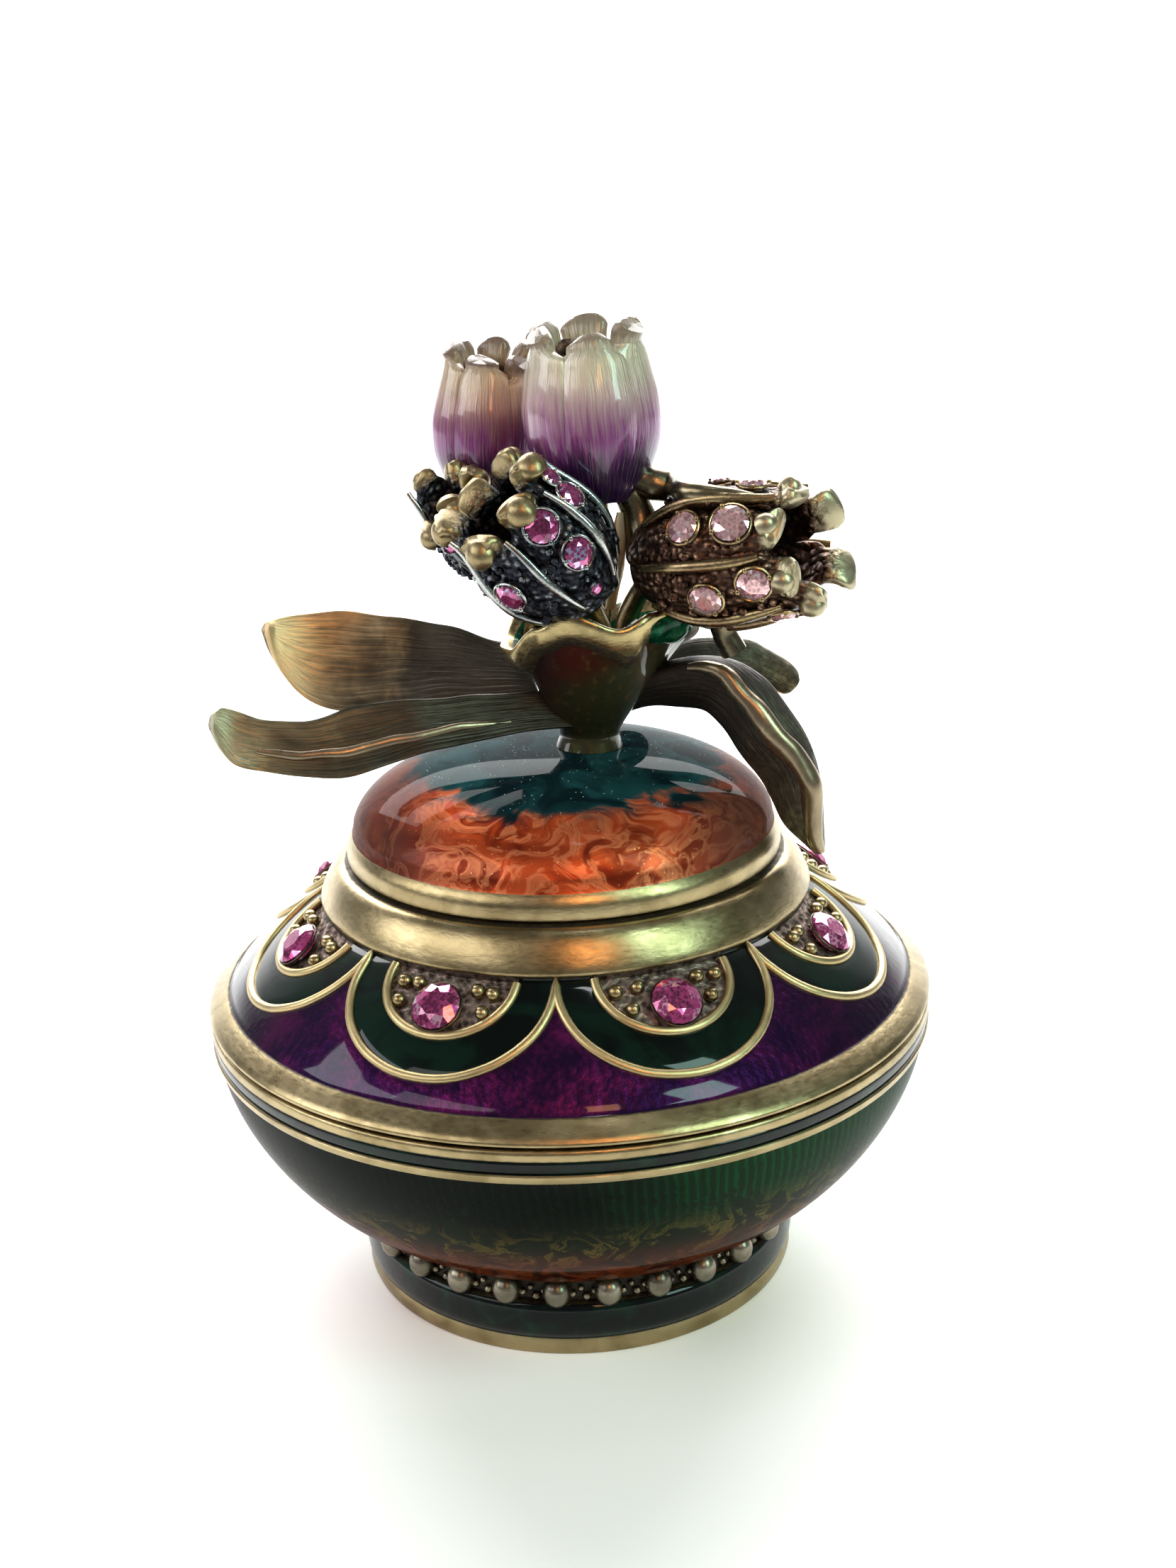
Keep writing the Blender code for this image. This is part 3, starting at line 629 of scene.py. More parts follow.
def shoulder_relief(points):
    """Sink the ground inside the small wires and swell the enamel, along the slope's own direction."""
    for point in points.reshape(-1, 3):
        r = math.hypot(point[0], point[1])
        if not COLLAR_R < r < BAND_IN_R or not SHOULDER_Z < point[2] <= COLLAR_Z:
            continue
        degrees = math.degrees(math.atan2(point[0], -point[1]))
        ground = lobe_reach(degrees, INNER_HALF_ANGLE, INNER_REACH) - r
        sink = SINK * min(1.0, max(0.0, ground / 0.3))
        edge = min(abs(lobe_reach(degrees, HALF_LOBE, LOBE_REACH) - r), BAND_IN_R - r, abs(ground))
        sink += 0.10 * max(0.0, 1.0 - edge / 0.8) ** 2 if ground < 0 else 0.0
        point[:2] -= point[:2] / r * SLOPE_OUT[0] * sink
        point[2] -= SLOPE_OUT[1] * sink
    return points


lid = Shape()
lid_corners = ((22.1, 36.65), (31.15, 28.92), (30.9, 27.3), (19.8, 40.1))
spin(lid, lid_profile, LID_SIDES, corner_crease(lid_corners, 0.95, 0.42), shoulder_relief, loop=True)
lid.make("lid_body", [inside_brass, brass, shoulder_enamel], "lid")

# %% [markdown]
# ## Cloisonné wires and granules
# The wires are strips of brass stood on edge and worn matte, so each is a rod with a section a little
# wider than tall. Three round granules sit on each side of every stone.

# %% Build the wires and granules
WIRE = 0.40
LOBES = [LOBE_TURN + 360.0 * k / LOBE_COUNT for k in range(LOBE_COUNT)]


def on_shoulder(r, degrees, lift=0.0):
    """Point on the shoulder, or above it along its slope's own direction."""
    return on_circle(r + SLOPE_OUT[0] * lift, degrees, shoulder_height(r) + SLOPE_OUT[1] * lift)


def away(point):
    """Direction out of the shoulder at a point."""
    flat = unit((point[0], point[1], 0.0))
    return unit(flat * SHOULDER_RISE + np.array((0.0, 0.0, SHOULDER_RUN)))


def scallop(middle, half, reach, start):
    """Points along a scallop's edge, from a phase in degrees to its far end."""
    return [on_shoulder(COLLAR_R + reach * math.sin(phase), middle - half * math.cos(phase), 0.02)
            for phase in np.radians(np.linspace(start, 180.0, 40, endpoint=False))]


wires = Shape()
outer_wire = []
for middle in LOBES:
    outer_wire += scallop(middle, HALF_LOBE, LOBE_REACH, 0.0)
    wires.grid(rod(scallop(middle, INNER_HALF_ANGLE, INNER_REACH, 2.0), WIRE, 10, flat=0.8, out=away))
outer_wire = wobble(np.array(outer_wire), 2.0, 0.04)
wires.grid(rod(outer_wire, WIRE, 10, closed=True, flat=0.8, out=away), loop=True)
for k, middle in enumerate(LOBES):
    for r, off, size in ((23.35, 10.4, 0.62), (23.2, 6.6, 0.64), (24.75, 8.2, 0.62),
                         (23.35, -10.2, 0.64), (23.2, -6.4, 0.60), (24.75, -8.4, 0.60)):
        wires.grid(ball(on_shoulder(r, middle + off + 0.5 * math.sin(9 * k + off), -0.02), size, 12), 1)
wires.make("scallop_wires", [wire_brass, brass], "lid", 70.0)

# %% [markdown]
# ## Cut stones
# Each stone is a round brilliant of coloured glass with a foil behind it. Its crown has a flat table,
# eight star facets and eight main ones, then a girdle. Foil throws light back differently from every
# facet, so each facet keeps a number of its own in lay, and the finish turns it into a painted reflection: a
# tone from deep ruby to nearly white, with a few painted glints. The facets stay flat, because the mesh is
# marked sharp at every edge.

# %% A stone and its finish
def stone_finish(name, deep, bright, painted_glint):
    """Foiled glass: each facet's own tone of painted reflection, from deep to bright, with a few painted
    glints.
    """
    def look(place, lay):
        tone = lay.part("X")
        inner = place.cells(3.4)
        # Painted reflection: tone and cells make each facet darker or brighter, and the brightest get a
        # painted glint.
        glow = (tone * 0.70 + inner * 0.55)
        colour = glow.rise(0.25, 0.80).mix(deep, bright)
        return {"Base Color": glow.rise(0.86, 1.05).mix(colour, painted_glint),
                "Roughness": 0.05 + inner * 0.05,
                "Metallic": 0.45 + 0.35 * tone}
    return finish(name, look, Coat_Weight=1.0, Coat_Roughness=0.0, Coat_IOR=1.6)


pink_stone = stone_finish("pink_stone", (0.11, 0.008, 0.05), (0.58, 0.07, 0.27), (1.0, 0.55, 0.75))
ruby_stone = stone_finish("ruby_stone", (0.10, 0.008, 0.045), (0.42, 0.05, 0.20), (0.55, 0.50, 0.85))
rose_stone = stone_finish("rose_stone", (0.28, 0.13, 0.15), (0.85, 0.50, 0.52), (1.0, 0.90, 0.95))


def plane(out):
    """A direction and two others square to it."""
    out = unit(out)
    across = unit(np.cross(out, (0.31, 0.12, 0.94)))
    return out, across, np.cross(out, across)


def add_stone(shape, middle, out, radius, zone, seed):
    """Brilliant-cut crown: flat faces with points of their own, each face with its own tone for the painted
    reflection.
    """
    out, across, along = plane(out)
    tones = np.random.default_rng(seed)
    table, star, girdle, foot = (0.50, 0.36), (0.72, 0.28), (0.98, 0.10), (0.86, -0.25)

    def corner(level, degrees):
        share, lift = level
        turn = math.radians(degrees)
        return middle + radius * (share * (across * math.cos(turn) + along * math.sin(turn)) + lift * out)

    flats = [[(table, 45 * k) for k in range(8)]]
    for a in range(0, 360, 45):
        b, c = a + 22.5, a + 45
        flats += [[(table, a), (star, b), (table, c)],
                  [(table, a), (star, a - 22.5), (girdle, a), (star, b)],
                  [(star, b), (girdle, a), (girdle, b)],
                  [(star, b), (girdle, b), (girdle, c)],
                  [(girdle, a), (girdle, b), (foot, b), (foot, a)],
                  [(girdle, b), (girdle, c), (foot, c), (foot, b)]]
    flats.append([(foot, 22.5 * k) for k in range(16)])
    for flat in flats:
        shape.points.append(np.array([corner(level, degrees) for level, degrees in flat]))
        shape.lays.append(np.full((len(flat), 3), (tones.uniform(0.0, 1.0), 0.0, 0.0)))
        shape.faces.append(tuple(range(shape.count, shape.count + len(flat))))
        shape.zones.append(zone)
        shape.count += len(flat)


def add_bezel(shape, middle, out, radius, thick, zone, beads=0):
    """Thin collar round a stone, with small claws where beads are asked for."""
    out, across, along = plane(out)

    def round_it(t, reach=radius):
        return middle + reach * (across * math.cos(t) + along * math.sin(t))

    path = [round_it(t) for t in np.arange(28) * 2 * math.pi / 28]
    shape.grid(rod(path, thick, 6, closed=True, out=lambda point: out), zone, loop=True)
    for k in range(beads):
        claw = round_it(2 * math.pi * (k + 0.5) / beads, 0.97 * radius) + out * thick
        shape.grid(ball(claw, 0.16 * radius, 8), zone)


# %% [markdown]
# The eight stones sit in the middle of their scallops, a little above the ground and square to the slope.
# Each is a piece of its own, as in the CAD model, with a dark bezel and the tones of its own seed.

# %% Set a stone in each scallop
for k, middle in enumerate(LOBES):
    stone = Shape()
    seat = on_shoulder(COLLAR_R + 2.75, middle)
    add_stone(stone, seat + away(seat) * 0.45, away(seat), 2.10, 0, 11 + k)
    add_bezel(stone, seat + away(seat) * 0.40, away(seat), 2.12, 0.10, 1)
    node = "lid_stone_%d" % (k + 1)
    stone.make(node + "_cut", [pink_stone, patina_and_shade], node, 1.0)

# %% [markdown]
# ## The dome
# A brass cap with a plain edge. Inside it the enamel is pearly orange, stirred while it was soft, with
# gold leaf in it, and it runs into a dark teal round the flowers' foot. Stirring is what warped noise
# does: a place is pushed about by one noise before the next one is read there.

# %% Finish of the dome
def dome_look(place, lay):
    stirred = place * (1.0, 1.0, 1.6) + (place.warp(0.16, 1.5) - 0.5) * 14.0
    marble = stirred.cloud(0.15, 4.0, 1.2)
    veins = stirred.cloud(0.30, 3.0, 1.6)
    flecks = place.cloud(4.5, 2.0).rise(0.70, 0.76)
    orange = marble.rise(0.36, 0.66).mix((0.15, 0.018, 0.007), (0.48, 0.072, 0.022))
    pearl = veins.rise(0.46, 0.58) * (1 - veins.rise(0.58, 0.72))
    orange = (pearl * 0.42).mix(orange, (0.80, 0.27, 0.12))
    orange = (flecks * 0.8).mix(orange, (0.95, 0.55, 0.22))
    # Painted shade: the orange darkens on both flanks, and shines less there.
    painted_flank_shade = (place.part("X").maths("ABSOLUTE") + (marble - 0.5) * 8.0).rise(7.0, 15.0)
    orange = (painted_flank_shade * 0.85).mix(orange, (0.055, 0.026, 0.022))
    teal = marble.rise(0.35, 0.7).mix((0.003, 0.010, 0.013), (0.009, 0.045, 0.050))
    sparks = place.cells(2.6).rise(0.16, 0.06) * place.cloud(0.9, 2.0).rise(0.50, 0.62)
    teal = sparks.mix(teal, (0.55, 0.75, 0.75))
    edge = place.reach() + (marble - 0.5) * 9.0 + (place.part("X") * -0.04)
    core = edge.rise(15.6, 13.4)
    return {"Base Color": core.mix(orange, teal),
            "Roughness": 0.30 + veins * 0.15,
            "Metallic": 0.62 - core * 0.52 - painted_flank_shade * (1 - core) * 0.40,
            "Height": marble * 0.12 + veins * 0.06}


dome_enamel = finish("stirred_dome_enamel", dome_look, **dim_glass(0.03, 1.25, Coat_Weight=0.2))

# %% [markdown]
# The cap is one shell: its hollow, its plain brass edge, and the enamel over the top, where the steps
# crowd together towards the edge because the curve is steepest there.

# %% Build the dome
DOME_IN, DOME_BRASS, DOME_TOP = range(3)
dome_profile = steps_of(DOME_IN, (0.05, 48.1), *[(17.66 * s, dome_height(17.66 * s, 1.4))
                                                 for s in (0.15, 0.35, 0.55, 0.7, 0.85, 0.94)])
dome_profile += steps_of(DOME_IN, (17.4, 41.7), (17.4, 40.5))
dome_profile += steps_of(DOME_BRASS, (17.5, DOME_Z), (19.35, DOME_Z), (19.55, 40.48), (DOME_EDGE_R, 40.7),
                         (DOME_EDGE_R, 41.5), (19.54, 41.85), (19.36, 42.2), (19.14, 42.5),
                         (19.04, DOME_CURVE_Z))
dome_profile += steps_of(DOME_TOP, (18.96, 42.72))
for share in np.sin(np.linspace(0.5 * math.pi, 0.0, 46))[3:]:
    r = DOME_CURVE_R * 0.995 * share
    dome_profile.append((max(0.05, r), dome_height(r) - 0.12 * share ** 30, DOME_TOP))
dome = Shape()
spin(dome, dome_profile, SIDES, corner_crease(((19.4, 40.4), (19.0, 42.68)), 0.9, 0.3))
dome.make("dome_cap", [inside_brass, brass, dome_enamel], "dome")

# %% [markdown]
# ## The bouquet's metal
# The leaves are cast brass under a brown-green patina. lay holds the place along a leaf, so one mask can
# run from a dark base to a bright tip; another darkens the underside as painted shade.

# %% Finishes of the leaves and the cup
def leaf_finish(name, base, tip, low, high, rough):
    """Tone that runs from one colour at the leaf's foot to another at its tip, streaked along the vein."""
    def look(place, lay):
        streaks = (lay * (5.0, 9.0, 0.0) + place * 0.05).cloud(1.4, 4.0, 0.4)
        clouds = place.cloud(0.20, 4.0, 0.8)
        grain = place.cloud(1.5, 3.0)
        along = (lay.part("X") + (clouds - 0.5) * 0.5 + (streaks - 0.5) * 0.25).rise(low, high)
        # Patina and painted shade in the creases, and painted shade over the underside.
        crease = (lay.part("Z") + (grain - 0.5) * 0.45).rise(0.30, 0.95)
        return {"Base Color": crease.mix(along.mix(base, tip), (0.016, 0.011, 0.008)),
                "Roughness": rough + (grain - 0.5) * 0.2 + crease * 0.2 - along * 0.04,
                "Metallic": 0.92 - crease * 0.35,
                "Height": streaks * 0.14 + grain * 0.02}
    return finish(name, look)


DEEP_OLIVE = (0.045, 0.038, 0.027)
gold_leaf = leaf_finish("sandy_gold_leaf", DEEP_OLIVE, (0.52, 0.38, 0.20), 0.44, 0.84, 0.42)
green_leaf = leaf_finish("green_bronze_leaf", (0.040, 0.034, 0.026), (0.28, 0.26, 0.165), 0.38, 1.0, 0.36)
dark_leaf = leaf_finish("dark_bronze_leaf", (0.06, 0.045, 0.035), (0.34, 0.32, 0.20), 0.45, 0.95, 0.30)
ridge_bronze = leaf_finish("rubbed_bronze_ridge", (0.16, 0.11, 0.075), (0.34, 0.28, 0.18), 0.55, 1.0, 0.32)
olive_leaf = leaf_finish("olive_bronze_leaf", DEEP_OLIVE, (0.34, 0.28, 0.17), 0.20, 0.70, 0.27)


def cup_look(place, lay):
    """Transparent brown enamel over foil on the cup: maroon on top, olive below, nearly black on the left
    side as painted shade.
    """
    clouds = place.cloud(0.16, 3.0, 1.0)
    mottle = place.cloud(1.2, 4.0)
    height = place.part("Z") + (clouds - 0.5) * 6.0 + place.part("X") * -0.5
    colour = height.rise(53.5, 58.0).mix((0.030, 0.028, 0.010), (0.050, 0.008, 0.004))
    colour = (mottle.rise(0.55, 0.75) * 0.6).mix(colour, (0.10, 0.06, 0.02))
    # Painted shade: the left side of the cup turns nearly black and less metallic.
    left = (place.part("X") + (clouds - 0.5) * 4.0).rise(1.5, -2.0)
    return {"Base Color": (left * 0.85).mix(colour, (0.004, 0.004, 0.005)), "Roughness": 0.32 + mottle * 0.15,
            "Metallic": 0.5 - left * 0.3, "Height": mottle * 0.06}


def cup_green_look(place, lay):
    """Clear green enamel, in the fold at the lip and inside the cup."""
    mottle = place.cloud(0.7, 4.0, 0.6)
    return {"Base Color": mottle.rise(0.35, 0.70).mix((0.001, 0.022, 0.010), (0.006, 0.095, 0.040)),
            "Roughness": 0.25 + mottle * 0.15, "Metallic": 0.4 * mottle}


lip_bronze = brass_finish("rubbed_lip_bronze", (0.38, 0.30, 0.145), (0.19, 0.15, 0.075), (0.03, 0.02, 0.012),
                          0.27, 1.3)
cup_enamel = finish("brown_cup_enamel", cup_look, Coat_Weight=1.0, Coat_Roughness=0.03, Coat_IOR=1.38,
                    Specular_IOR_Level=0.1)
cup_green = finish("green_cup_enamel", cup_green_look, **dim_glass(0.05, 1.3, Coat_Weight=0.6))

# %% [markdown]
# ## The calyx cup
# A wavy cup carries the flowers. Its lip is rolled over into a thick band that dips in a fold to the
# right of the middle, so the band is swept round as a section of its own. The wall itself is enamelled.

# %% Build the cup
CUP_WAVES = ((-180, -0.6), (-140, 1.2), (-100, -2.0), (-65, -1.8), (-42, 0.6), (-18, 2.1), (10, 0.7),
             (30, 1.7), (45, 1.7), (67, 0.6), (86, -1.0), (130, 0.8), (180, -0.6))
BAND_DROPS = ((-180, 1.9), (-100, 2.2), (-62, 3.0), (-40, 2.2), (-6, 2.1), (8, 2.4), (20, 3.6), (25, 3.9),
              (31, 2.4), (40, 1.1), (70, 1.1), (110, 1.8), (180, 1.9))


def between(table, at):
    """Smooth value from a table of places and values."""
    k = max(i for i in range(len(table) - 1) if i == 0 or table[i][0] <= at)
    (left, low), (right, high) = table[k], table[k + 1]
    t = min(1.0, max(0.0, (at - left) / (right - left)))
    return low + (high - low) * t * t * (3.0 - 2.0 * t)


CUP_STEPS = ((0.0, CUP_FOOT_R, 0.0), (0.04, 2.72, 0.0), (0.10, 2.65, 0.0), (0.20, 3.2, 0.03),
             (0.35, 4.19, 0.1), (0.52, 5.25, 0.28), (0.70, 6.35, 0.5), (0.85, 7.35, 0.75),
             (0.93, 7.95, 0.9), (1.0, CUP_LIP_R, 1.0))


def cup_point(share, degrees, out=0.0, up=0.0):
    """Point on the cup's outside at a share of its height, moved out and up in millimetres."""
    heights = [row[0] for row in CUP_STEPS]
    radius = float(np.interp(share, heights, [row[1] for row in CUP_STEPS])) + out
    wave = float(np.interp(share, heights, [row[2] for row in CUP_STEPS]))
    point = on_circle(radius, degrees, CUP_Z + CUP_H * share + wave * between(CUP_WAVES, degrees) + up)
    return point + (CUP_X + CUP_LEAN * share, 0.0, 0.0)


CUP_OUT, CUP_INSIDE, CUP_BAND = range(3)
PAD_FROM, PAD_TO, PAD_SHARE, PAD_HALF = 29.0, 68.0, 0.895, 0.105
cup_turns = np.arange(-180.0, 180.0, 2.5)
rows = [[cup_point(share, d) for d in cup_turns] for share in np.linspace(0.0, 1.0, 34)]
for point in rows[0]:
    point[2] = dome_height(math.hypot(point[0], point[1])) + 0.05
rows += [[cup_point(s, d, -0.9) for d in cup_turns] for s in (1.0, 0.8, 0.6)]
rows.append([cup_point(0.47, d, -1.9) for d in cup_turns])
cup = Shape()
cup.grid(rows, [CUP_OUT] * 33 + [CUP_INSIDE] * 4)
band_rows, band_lay = [], []
for d in cup_turns:
    drop = between(BAND_DROPS, d)
    low = cup_point(1.0 - drop / CUP_H, d, 0.05)
    high = cup_point(1.0, d, -0.35, 0.15)
    along, outward = unit(high - low), on_circle(1.0, d, 0.35)
    half = 0.5 * np.linalg.norm(high - low)
    section = [fuller(a, 0.75, 0.75) for a in np.arange(0.0, 360.0, 20.0)]
    band_rows.append([0.5 * (low + high) + along * half * c + outward * (0.72 + 0.14 * drop) * s
                      for c, s in section])
    # Patina and painted shade along the band's lower edge, where it rolls against the wall.
    band_lay.append([(0.5 + d / 360.0, c, 0.85 if c < -0.5 else 0.1) for c, s in section])
cup.grid(wobble(np.array(band_rows), 2.5, 0.16), CUP_BAND, loop=True, lay=band_lay)
pad = []
for d in np.linspace(PAD_FROM, PAD_TO, 18):
    pinch = math.sin(math.pi * (d - PAD_FROM) / (PAD_TO - PAD_FROM)) ** 0.35
    half = PAD_HALF * max(0.1, pinch)
    pad.append([cup_point(PAD_SHARE + half * math.cos(a), d, 0.35 + 0.95 * pinch * math.sin(a))
                for a in np.radians(np.arange(0.0, 360.0, 24.0))])
cup.grid(wobble(np.array(pad), 2.0, 0.1), CUP_INSIDE)
cup.make("calyx_cup", [cup_enamel, cup_green, lip_bronze], "calyx_and_leaves", 60.0)
# %% [markdown]
# ## Leaves
# Each leaf follows a vein through a few stations, every one with its width below and above the vein. The
# section is a thick lens with rounded edges. cup bends its edges up or, when negative, folds them down,
# keel raises the vein, and the noise of the wax model keeps it from looking drawn with a ruler.

# %% Build the leaves
LEAF_THICK = 1.1


def add_leaf(shape, stations, across, cup_bend, fold, keel, zone, seed, vein=None, thick=LEAF_THICK):
    """stations: (x, y, z, width below, width above) in hundredths of the bouquet's height.
    vein: a rib on top, as (from, to, thickness, lift, shift, zone)."""
    path = curve([tuple(spot(*row[:3])) + row[3:] for row in stations], 7)
    last = len(path) - 1
    scale = BOUQUET_H / 100
    rows, lays, ridge = [], [], []
    for k, row in enumerate(path):
        point, below, above = row[:3], max(0.4, row[3]) * scale, max(0.4, row[4]) * scale
        along = path[min(k + 2, last)][:3] - path[max(k - 2, 0)][:3]
        share = k / last
        side = unit(np.array(across[0]) * (1 - share) + np.array(across[1]) * share)
        normal = unit(np.cross(side, along))
        ring, ring_lay = [], []
        for a in np.arange(0.0, 360.0, 10.0):
            c, s = fuller(a, 0.8, 0.7)
            width = above if c > 0 else below
            lift = cup_bend * width * abs(c) ** fold + 0.5 * thick * s * (1.0 - 0.35 * c * c)
            if s > 0:
                lift += keel * math.exp(-(c / 0.16) ** 2) * math.sin(math.pi * min(1.0, share + 0.1))
            ring.append(point + side * width * c + normal * lift)
            # Patina and painted shade in the troughs beside a raised vein; painted shade over the whole
            # underside.
            trough = 0.55 * math.exp(-((abs(c) - 0.30) / 0.12) ** 2) if keel and s > 0 else 0.0
            ring_lay.append((share, c, max(trough, 0.75 if s < -0.3 else 0.0)))
        rows.append(ring)
        lays.append(ring_lay)
        if vein and vein[0] < share < vein[1]:
            ridge.append(point + normal * vein[3] * 0.5 * LEAF_THICK + side * below * vein[4])
    shape.grid(wobble(np.array(rows), 4.0, 0.22, seed), zone, lay=lays)
    if vein:
        widths = vein[2] * np.sin(np.linspace(0.12, math.pi - 0.25, len(ridge))) ** 0.5
        shape.grid(wobble(rod(ridge, widths, 16), 3.0, 0.3, seed), vein[5], lay=(0.75, 0.0, 0.0))


UPRIGHT = ((0, 0.65, 0.75), (0, 0.6, 0.8))
GOLD, GREENISH, DARKER, BLUNT, RIDGE = range(5)
leaves = Shape()
add_leaf(leaves, [(-2, 2, 8, 4, 4), (-12, 6, 15.5, 6, 5.5), (-22, 8, 17, 8, 6.8), (-33, 11, 18, 10.6, 9.4),
                  (-47, 14, 18, 13, 11), (-59, 15, 18.3, 14.6, 12.6), (-68, 15, 20.2, 12.6, 10.6),
                  (-75, 15, 24, 8, 6), (-77.5, 15, 27.6, 1.6, 1.6)], UPRIGHT, 0.2, 2, 0.0, GOLD, 1.0)
add_leaf(leaves, [(-2, -2, 8, 4.5, 4.5), (-11, -6, 9, 5, 5), (-22, -9.5, 9.2, 5.6, 5.6),
                  (-36, -15, 9.4, 6.8, 6.8), (-45, -17.5, 8.7, 7.7, 7.7), (-55, -20, 7.4, 8.6, 8.4),
                  (-65, -21.5, 6.9, 7, 6.5), (-74, -21.5, 7.6, 6.4, 6.4), (-80.5, -21.5, 9.8, 6.8, 6.8),
                  (-84, -21.5, 12.4, 5.4, 5.4), (-86, -21.5, 14.5, 2, 2)],
         UPRIGHT, 0.25, 2, 0.0, GREENISH, 2.0, (0.16, 0.74, 0.55, 0.9, -0.28, RIDGE))
add_leaf(leaves, [(2, 0, 8, 4, 3), (14, -4, 15.5, 7, 4), (24, -7, 19, 10, 3), (31.5, -10.5, 18.3, 10, 3.6),
                  (36.5, -13.5, 12.5, 8.6, 6.6), (42, -15.5, 5, 8.6, 6.8), (48.5, -16, -2.5, 9.6, 4.6),
                  (51, -16, -10, 8.4, 3.6), (51.6, -15.5, -18, 5.6, 4), (53.2, -14.6, -25.2, 2, 2)],
         ((0.3, 0.1, 1.0), (1.0, 0.1, 0.1)), 0.6, 1.4, 0.0, DARKER, 3.0,
         (0.22, 0.985, 1.05, -0.9, 0.0, RIDGE))
add_leaf(leaves, [(2, 2, 8, 3, 3), (16, 9, 14.5, 3.6, 3.6), (27, 14, 16.2, 4.4, 4.4),
                  (38, 16.5, 14.6, 4.9, 4.9), (45, 16.5, 12, 4.4, 4.0), (49, 15.7, 9.7, 4.2, 3.8),
                  (51, 15.1, 8.6, 3.2, 3.0), (52, 15, 8.1, 1.4, 1.4)],
         ((0, 0.5, 0.85), (0.4, 0.3, 0.85)), -0.3, 2, 0.0, BLUNT, 4.0, thick=2.3)
add_leaf(leaves, [(0, 2, 8, 4, 4), (5, 19, 16.7, 8, 8), (10.5, 38, 12.6, 9.5, 9.5), (14.5, 52, 3, 3, 3)],
         ((1.0, -0.2, 0.0), (1.0, -0.2, -0.1)), 0.2, 2, -0.5, DARKER, 5.0)
leaves.make("calyx_leaves", [gold_leaf, green_leaf, dark_leaf, olive_leaf, ridge_bronze], "calyx_and_leaves",
            60.0)

# %% [markdown]
# ## Petals
# A petal is a curved shell. Its middle line climbs the bud and then rolls outwards (or, on a closed
# petal, inwards) at its tip. Across it, one edge lies a little higher than the other, so each petal
# overlaps the next one as real tulip petals do. lay holds the place along and across the petal.

# %% A bud and its petals
class Bud:
    """Axis, size and profile of one tulip, in millimetres."""

    def __init__(self, base, aim, length, radius, mouth):
        scale = BOUQUET_H / 100
        self.base, self.up = spot(*base), unit(aim)
        self.side = unit(np.cross(self.up, (0, 1, 0)))
        self.other = np.cross(self.up, self.side)
        self.length, self.radius, self.mouth = length * scale, radius * scale, mouth * scale

    def reach(self, t):
        belly = self.radius * max(0.0, math.sin(math.pi * (0.12 + 0.75 * t))) ** 0.7
        return belly + (self.mouth - belly) * min(1.0, t) ** 2.5

    def outward(self, degrees):
        turn = math.radians(degrees)
        return self.side * math.cos(turn) + self.other * math.sin(turn)

    def at(self, t, degrees, out=0.0):
        """Point on the bud's skin at a share of its length, and so far outside it."""
        return self.base + self.up * self.length * t + self.outward(degrees) * (self.reach(t) + out)


TIP_ROOM = 1.1
CLIMB, ROLL_STEPS = 26, 10


def tip_path(bud, tip, roll, roll_r):
    """Middle line of a petal as (radius, height) in mm, rolled at the tip: outwards, or inwards below 0."""
    top = bud.length * tip - roll_r * math.sin(math.radians(min(90.0, abs(roll)))) - TIP_ROOM * (roll > 0)
    line = [(bud.reach(h / bud.length), h) for h in np.linspace(0.0, top, CLIMB)]
    r, h = line[-1]
    turn_way = 1.0 if roll > 0 else -1.0
    for a in np.radians(np.linspace(0.0, abs(roll), ROLL_STEPS + 1)[1:]):
        line.append((r + turn_way * roll_r * (1.0 - math.cos(a)), h + roll_r * math.sin(a)))
    return np.array(line)


def add_petal(shape, bud, middle, tip, half, roll, roll_r, thick, zone, seed, lean, inset=0.0, blunt=0.55,
              notch=0.91, edge_dark=2.2):
    """half: its angle to each side. blunt: the share of that left at the tip. notch: where it narrows."""
    line = tip_path(bud, tip, roll, roll_r)
    slope = np.gradient(line, axis=0)
    last = len(line) - 1
    rows, lays = [], []
    for k, ((r, h), (dr, dh)) in enumerate(zip(line, slope)):
        share = k / last
        norm = max(1e-6, math.hypot(dr, dh))
        out_r, out_h = dh / norm, -dr / norm
        climbed = (h / line[CLIMB - 1][1] - notch) / (1.0 - notch)
        near_tip = min(1.0, max(0.0, climbed)) if k < CLIMB else 1.0
        wide = half * (blunt + (1.0 - blunt) * math.sqrt(1.0 - near_tip ** 2.0))
        wide *= 1.0 - 0.35 * max(0, k - CLIMB - 5) / 5
        puff = thick * (0.85 + 0.75 * near_tip) * (1.0 if k < last - 1 else 0.75)
        grow = min(1.0, 3.0 * share)
        # Painted shade on the petal's inner face, deep in the bud.
        inner = 0.75 * min(1.0, max(0.0, (0.72 - share) / 0.12))
        ring, ring_lay = [], []
        for a in np.arange(0.0, 360.0, 11.25):
            c, s = fuller(a, 0.8, 0.7)
            skin = 0.5 * puff * (s - 1.0) * (1.0 - 0.3 * c * c) + lean * c * grow
            skin -= inset + 0.06 * bud.radius * c * c * grow
            turn = bud.outward(middle + wide * c)
            ring.append(bud.base + bud.up * (h + out_h * skin) + turn * max(0.05, r + out_r * skin))
            # Painted shade along the petal's side edges, where it meets the next one.
            rim = max(0.0, abs(c) - 0.8) * edge_dark * (1.0 - near_tip)
            ring_lay.append((share, c, inner if s < -0.3 else rim))
        rows.append(ring)
        lays.append(ring_lay)
    shape.grid(wobble(np.array(rows), 2.2, 0.12, seed), zone, lay=lays)


